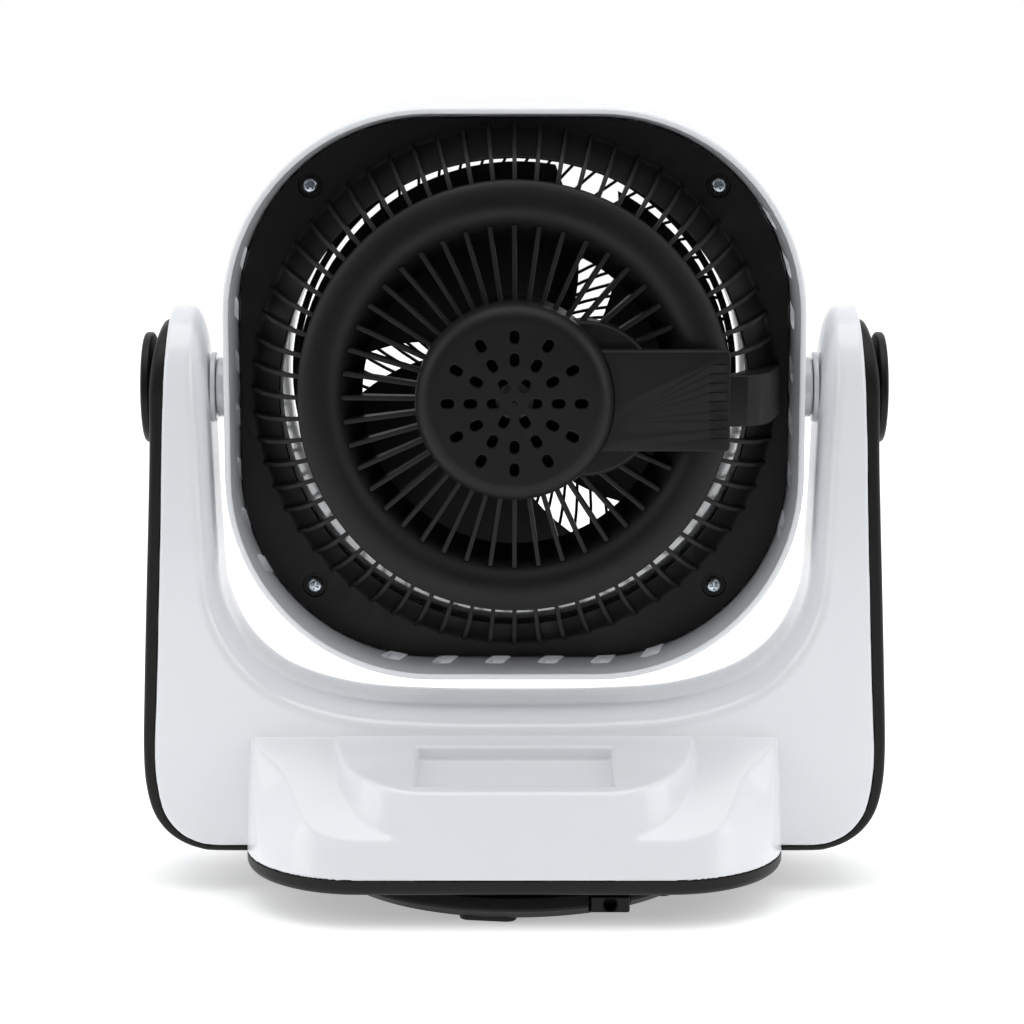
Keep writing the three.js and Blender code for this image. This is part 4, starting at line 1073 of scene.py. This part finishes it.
def rear_console(p, shrink=0.0):
    """A leaning outer wall, sloping roofs at both sides, and a raised shelf with a well between them."""
    x, y, z = np.abs(p[:, 0]), p[:, 1], p[:, 2]
    walls = plan(x, y, CONSOLE_X - 0.05, CONSOLE_Y - 0.4 - WALL_LEAN * (z - BOTTOM), CONSOLE_CORNER)
    walls = walls + 2.5 * (1 - ease((x - 40) / 18))  # behind the shelf the wall stands further in
    roof = (y - REAR_FACE) * ROOF_RISE + (z - CONSOLE_TOP) * ROOF_RUN
    soft = 1.3 + 24 * ease((x - 98) / 28) * ease((y - REAR_FACE) / 30)
    sides = meet(walls, roof / math.hypot(ROOF_RUN, ROOF_RISE), soft)
    middle = plan(x, y, SHELF_X, SHELF_Y, SHELF_CORNER) - WALL_LEAN * (SHELF_RIM_Z - z)
    shelf = meet(middle / math.hypot(1, WALL_LEAN), shelf_top(y, z), 1.7)
    shape = either(sides, shelf, 1.4) + shrink
    depth = np.maximum(-shelf_top(y, z), 0)
    ends = np.maximum(WELL_NEAR - y + 0.15 * depth, y - WELL_FAR + 0.15 * depth)
    well = np.maximum(x - WELL_X + 0.3 * depth, ends)
    well = meet(well, -(shelf_top(y, z) + WELL_DEEP), 1.6) - shrink
    return meet(shape, -well, 1.2)


def rear_console_field(p):
    return np.maximum(rear_console(p), np.maximum(BOTTOM - p[:, 2], REAR_START - p[:, 1]))


def rear_console_space(p):
    start = REAR_START - OVERLAP
    return np.maximum(rear_console(p, WALL), np.maximum(BOTTOM - BELOW - p[:, 2], start - p[:, 1]))


def front_console(p, lid=0.0):
    """A leaning outer wall under the sloping control panel; the lid is how far the slope is lowered."""
    x, y, z = np.abs(p[:, 0]), p[:, 1], p[:, 2]
    walls = plan(x, -y, CONSOLE_X - 0.05, CONSOLE_Y - 0.4 - FRONT_LEAN * (z - BOTTOM), CONSOLE_CORNER)
    slope = (z - PANEL_Z - (y - PANEL_Y) * math.tan(PANEL_TILT)) * math.cos(PANEL_TILT) + lid
    return meet(walls, slope, 7)


def front_console_field(p):
    return np.maximum(front_console(p), np.maximum(BOTTOM - p[:, 2], p[:, 1] - FRONT_START))


def front_console_space(p):
    end = FRONT_START + OVERLAP
    shape = front_console(p, 3.0) + WALL
    return np.maximum(shape, np.maximum(BOTTOM - BELOW - p[:, 2], p[:, 1] - end))


def panel_place(part):
    return placed(part, Matrix.Translation((0, PANEL_Y, PANEL_Z)) @ Matrix.Rotation(PANEL_TILT, 4, "X"))


def block(low, high):
    (x0, y0, z0), (x1, y1, z1) = low, high
    return slab([(x0, y0), (x1, y0), (x1, y1), (x0, y1)], z0, z1)


def yoke_body(name, fields, cells, margin_x, ends, below, material):
    """The U with the rear and front consoles joined to it, as one working object."""
    (u_x, box_x), (rear_start, front_end), low = margin_x, ends, BOTTOM - below
    top, console_top = YOKE_HIGH[2] + 3, CONSOLE_TOP + 4
    regions = [((-u_x, -26.1, low), (u_x, 50.2, top)),
               ((-box_x, rear_start, low), (box_x, 109.2, console_top)),
               ((-box_x, -109.2, low), (box_x, front_end, console_top))]
    parts = [surface(field, *region, cell) for field, region, cell in zip(fields, regions, cells)]
    sharp = YOKE_SHARP if material else 38
    body = build(name, parts[:1], material, sharp)
    join(body, parts[1:2], sharp)
    join(body, parts[2:], sharp)
    return body


def make_yoke():
    cell, coarse = 1.3, 3.1
    shell = yoke_body("yoke_shell", (yoke_field, rear_console_field, front_console_field),
                      (cell, cell * 0.7, cell), (182.3, 136.1), (38.3, -13.2), 2.9, WHITE)
    space = yoke_body("yoke_space", (yoke_space, rear_console_space, front_console_space),
                      (coarse, coarse, coarse), (180.2, 134.2), (33.3, -8.2), 8, None)
    cut(shell, [part_of(space)], YOKE_SHARP)
    pin = revolved([(0, 146), (10.2, 146), (10.2, 156), (0, 156)], "x", 48, (0, PIVOT_Y, PIVOT_Z))
    pocket = panel_place(slab(rounded_rectangle(80.3, 26.3, 8, 8), -2.2, 20))
    opening = panel_place(slab(rounded_rectangle(74, 20, 4, 4), -20, 1))
    for hole in ([pin, mirrored(pin)], [pocket], [opening]):
        cut(shell, hole, YOKE_SHARP)
    other = shell.copy()
    other.data = shell.data.copy()
    bpy.context.scene.collection.objects.link(other)
    shell.name, other.name = "yoke_rear", "yoke_front"
    keep(shell, [block((-200, PIVOT_Y + SEAM, 0), (200, 200, 400))], YOKE_SHARP)
    keep(other, [block((-200, -200, 0), (200, PIVOT_Y - SEAM, 400))], YOKE_SHARP)
    finish_piece(shell, "yoke", "yoke_rear_shell", even=False)
    finish_piece(other, "yoke", "yoke_front_shell", even=False)


def trim_field(p):
    x, y, z = p[:, 0], p[:, 1], p[:, 2]
    deep = arm_depth(y, z, HALF_DEPTH - 1.2, 33.8)
    outer = meet(-inside_trim(x, z), -deep, 2.6)
    inner = inside_side(x, z) + 0.25
    return np.maximum(np.maximum(outer, inner), np.maximum(CONSOLE_X + 0.3 - x, z - 300))


def make_trims():
    cell = 1.1
    part = surface(trim_field, (CONSOLE_X - 3.3, -26.1, 18.3), (188.2, 50.2, 292), cell)
    for side, shape in (("right", part), ("left", mirrored(part))):
        trim = build(f"trim_{side}", [shape], BLACK, YOKE_SHARP)
        finish_piece(trim, "yoke", f"arm_trim_{side}", even=False)


make_yoke()
make_trims()

# ---------------------------------------------------------------- base, foot and feet


def make_base():
    low, high = TRAY_LOW[2], BOTTOM - 0.3
    outline = rounded_rectangle(CONSOLE_X, CONSOLE_Y, CONSOLE_CORNER, 24)
    tray = build("tray", [slab(outline, low, high, 4.4, 0.3, 6)], BLACK)
    cut(tray, [slab(inset(outline, 3), low + 3, high + 2)])
    cut(tray, [slab(circle(18.5, 64), low - 1, low + 10)])
    pegs = [moved(slab(circle(3, 32), low + 1, 29.7, 0, 0.5), (x, 38, 0)) for x in (-26, 26)]
    join(tray, pegs)
    finish_piece(tray, "yoke", "base_tray")
    radius = FOOT_HIGH[0]
    profile = filleted([(5, 4), (22, 4), (22, 9), (78, 9), (78, 2.5), (93, 2.5), (radius, 8),
                        (radius - 2.5, 14), (18, 14), (18, 27), (5, 27)],
                       [0, 0, 1, 1, 0.5, 1.5, 1.6, 1, 0.5, 0.5, 0.4], 4)
    disc = build("disc", [revolved(profile, "z", 160)], BLACK)
    low, high = box_mm("cord_gland")
    cut(disc, [block((low[0] - 1, low[1] - 4, 4), (high[0] + 1, high[1] + 17, high[2] + 0.3))])
    finish_piece(disc, "foot", "foot_disc")
    outline = rounded_rectangle((high[0] - low[0]) / 2, (high[1] - low[1]) / 2, 1.5, 4)
    middle = (low + high) / 2
    shape = moved(slab(outline, low[2], high[2], 0.8, 0.8, 3), (middle[0], middle[1], 0))
    gland = build("gland", [shape], BLACK)
    bore = [(0, 84), (3.2, 84), (3.2, 92.2), (4.2, 93.4), (0, 93.4)]
    cut(gland, [revolved(bore, "y", 48, (middle[0], 0, middle[2]))])
    finish_piece(gland, "foot", "cord_gland")
    for k in range(5):
        pad = moved(slab(rounded_rectangle(14, 5.5, 5, 8), 0, 2.2, 0.7, 0.1, 3), (0, 86.5, 0))
        pad = build(f"pad_{k + 1}", [turned(pad, -8.5 + 72 * k, "Z")], RUBBER)
        finish_piece(pad, "foot", f"rubber_foot_{k + 1}")


make_base()

# ---------------------------------------------------------------- control panel

BUTTONS = ["power", "speed", "timer", "mode", "swing"]


def ring_mark(radius, width, start, end, steps=24):
    angles = np.radians(np.linspace(start, end, steps))
    outside = [(radius * math.cos(a), radius * math.sin(a)) for a in angles]
    inside = [((radius - width) * math.cos(a), (radius - width) * math.sin(a)) for a in angles[::-1]]
    return outside + inside


def bar_mark(x0, y0, x1, y1, width=0.5):
    way = np.array([x1 - x0, y1 - y0], float)
    side = np.array([-way[1], way[0]]) / np.linalg.norm(way) * width / 2
    a, b = np.array([x0, y0]), np.array([x1, y1])
    return [tuple(a + side), tuple(a - side), tuple(b - side), tuple(b + side)]


def button_marks(name):
    """Flat outlines of a generic symbol for each button."""
    if name == "power":
        return [ring_mark(2.8, 0.5, 125, 415), bar_mark(0, 0.4, 0, 3.4)]
    if name == "speed":
        return [bar_mark(x, -2.2, x, top) for x, top in ((-2.2, -0.6), (0, 0.9), (2.2, 2.4))]
    if name == "timer":
        return [ring_mark(2.9, 0.5, 0, 359), bar_mark(0, 0.1, 0, 1.9), bar_mark(0.2, -0.2, 1.5, -0.2)]
    if name == "mode":
        return [bar_mark(-2.4, y, 2.4, y) for y in (-1.8, 0, 1.8)]
    return [ring_mark(2.9, 0.5, 200, 340), bar_mark(-3.2, -1.2, -2.2, 0.4), bar_mark(3.2, -1.2, 2.2, 0.4)]


WINDOW_PLACE, EYE_PLACE = (0, 11, 0), (60, 11, 0)
BUTTON_PLACES = {name: ((k - 2) * 26, -10, 0) for k, name in enumerate(BUTTONS)}


def panel_piece(name, part, material, body, node):
    piece = build(name, [panel_place(part)], material)
    finish_piece(piece, body, node)


def make_bezel():
    plate = panel_place(slab(rounded_rectangle(80, 26, 8, 10), -1.9, 0.4, 0.1, 0.5, 3))
    bezel = build("bezel", [plate], BLACK_SMOOTH)
    holes = [moved(slab(rounded_rectangle(38.3, 8.3, 2, 5), -3, 2), WINDOW_PLACE),
             moved(slab(circle(4.3, 48), -3, 2), EYE_PLACE)]
    holes += [moved(slab(circle(7.3, 64), -3, 2), place) for place in BUTTON_PLACES.values()]
    cut(bezel, [panel_place(hole) for hole in holes])
    finish_piece(bezel, "yoke", "control_bezel")


def make_panel():
    make_bezel()
    window = moved(slab(rounded_rectangle(38, 8, 1.7, 6), -1.9, 0.6, 0.1, 0.35, 3), WINDOW_PLACE)
    panel_piece("window", window, BLACK_SMOOTH, "yoke", "display_window")
    dome = flowing([(4, -1.9), (4, 0.35), (3.2, 0.85), (1.6, 1.13), (0, 1.2)], 4).tolist()
    lens = moved(revolved(dome + [(0, -1.9)], "z", 48), EYE_PLACE)
    panel_piece("lens", lens, BLACK_SMOOTH, "yoke", "receiver_window")
    profile = filleted([(0, -4.5), (8.5, -4.5), (8.5, -2.5), (7, -2.5), (7, 1.9), (5.6, 1.7), (0, 1.35)],
                       [0, 0.3, 0.3, 0, 0.6, 1, 0], 4)
    for name, place in BUTTON_PLACES.items():
        body = f"{name}_button"
        key = moved(revolved(profile, "z", 64), place)
        panel_piece(f"{name}_key", key, BLACK, body, body)
        marks = [panel_place(moved(slab(mark, 1.25, 1.62), place)) for mark in button_marks(name)]
        mark = build(f"{name}_symbol", marks, MARK)
        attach(mark, body)


make_panel()

# ---------------------------------------------------------------- CAD nodes that stay

CARRIED = {
    # the brackets take the near-black steel as painted shade seen through the slots of the motor cover
    STEEL_DARKENED_AS_SHADE: ["motor_bracket_front", "motor_bracket_rear"],
    STEEL: ["stator_core", "bearing_front", "bearing_rear", "motor_shaft", "rotor_core",
            "tilt_nut_left", "tilt_nut_right", "foot_weight", "retaining_washer", "swing_motor"],
    COPPER: ["winding_front", "winding_rear"],
    BLACK: ["capacitor", "slip_ring"],
    GREY: ["blade_nut"],
    NYLON: ["fixed_gear", "swing_pinion"],
    ZINC: ["swivel_bolt"],
    BOARD: ["control_board"],
}
for carried_material, carried_nodes in CARRIED.items():
    for carried_node in carried_nodes:
        carry(carried_node, carried_material)

# ---------------------------------------------------------------- floor


def add_floor():
    outline = filleted([(-1500, -2600), (1500, -2600), (1500, 900), (-1500, 900)], 500, 16)
    rim = np.column_stack([outline, np.zeros(len(outline))])
    floor = build("floor", [(rim, [tuple(range(len(rim)))])], floor_finish())


add_floor()
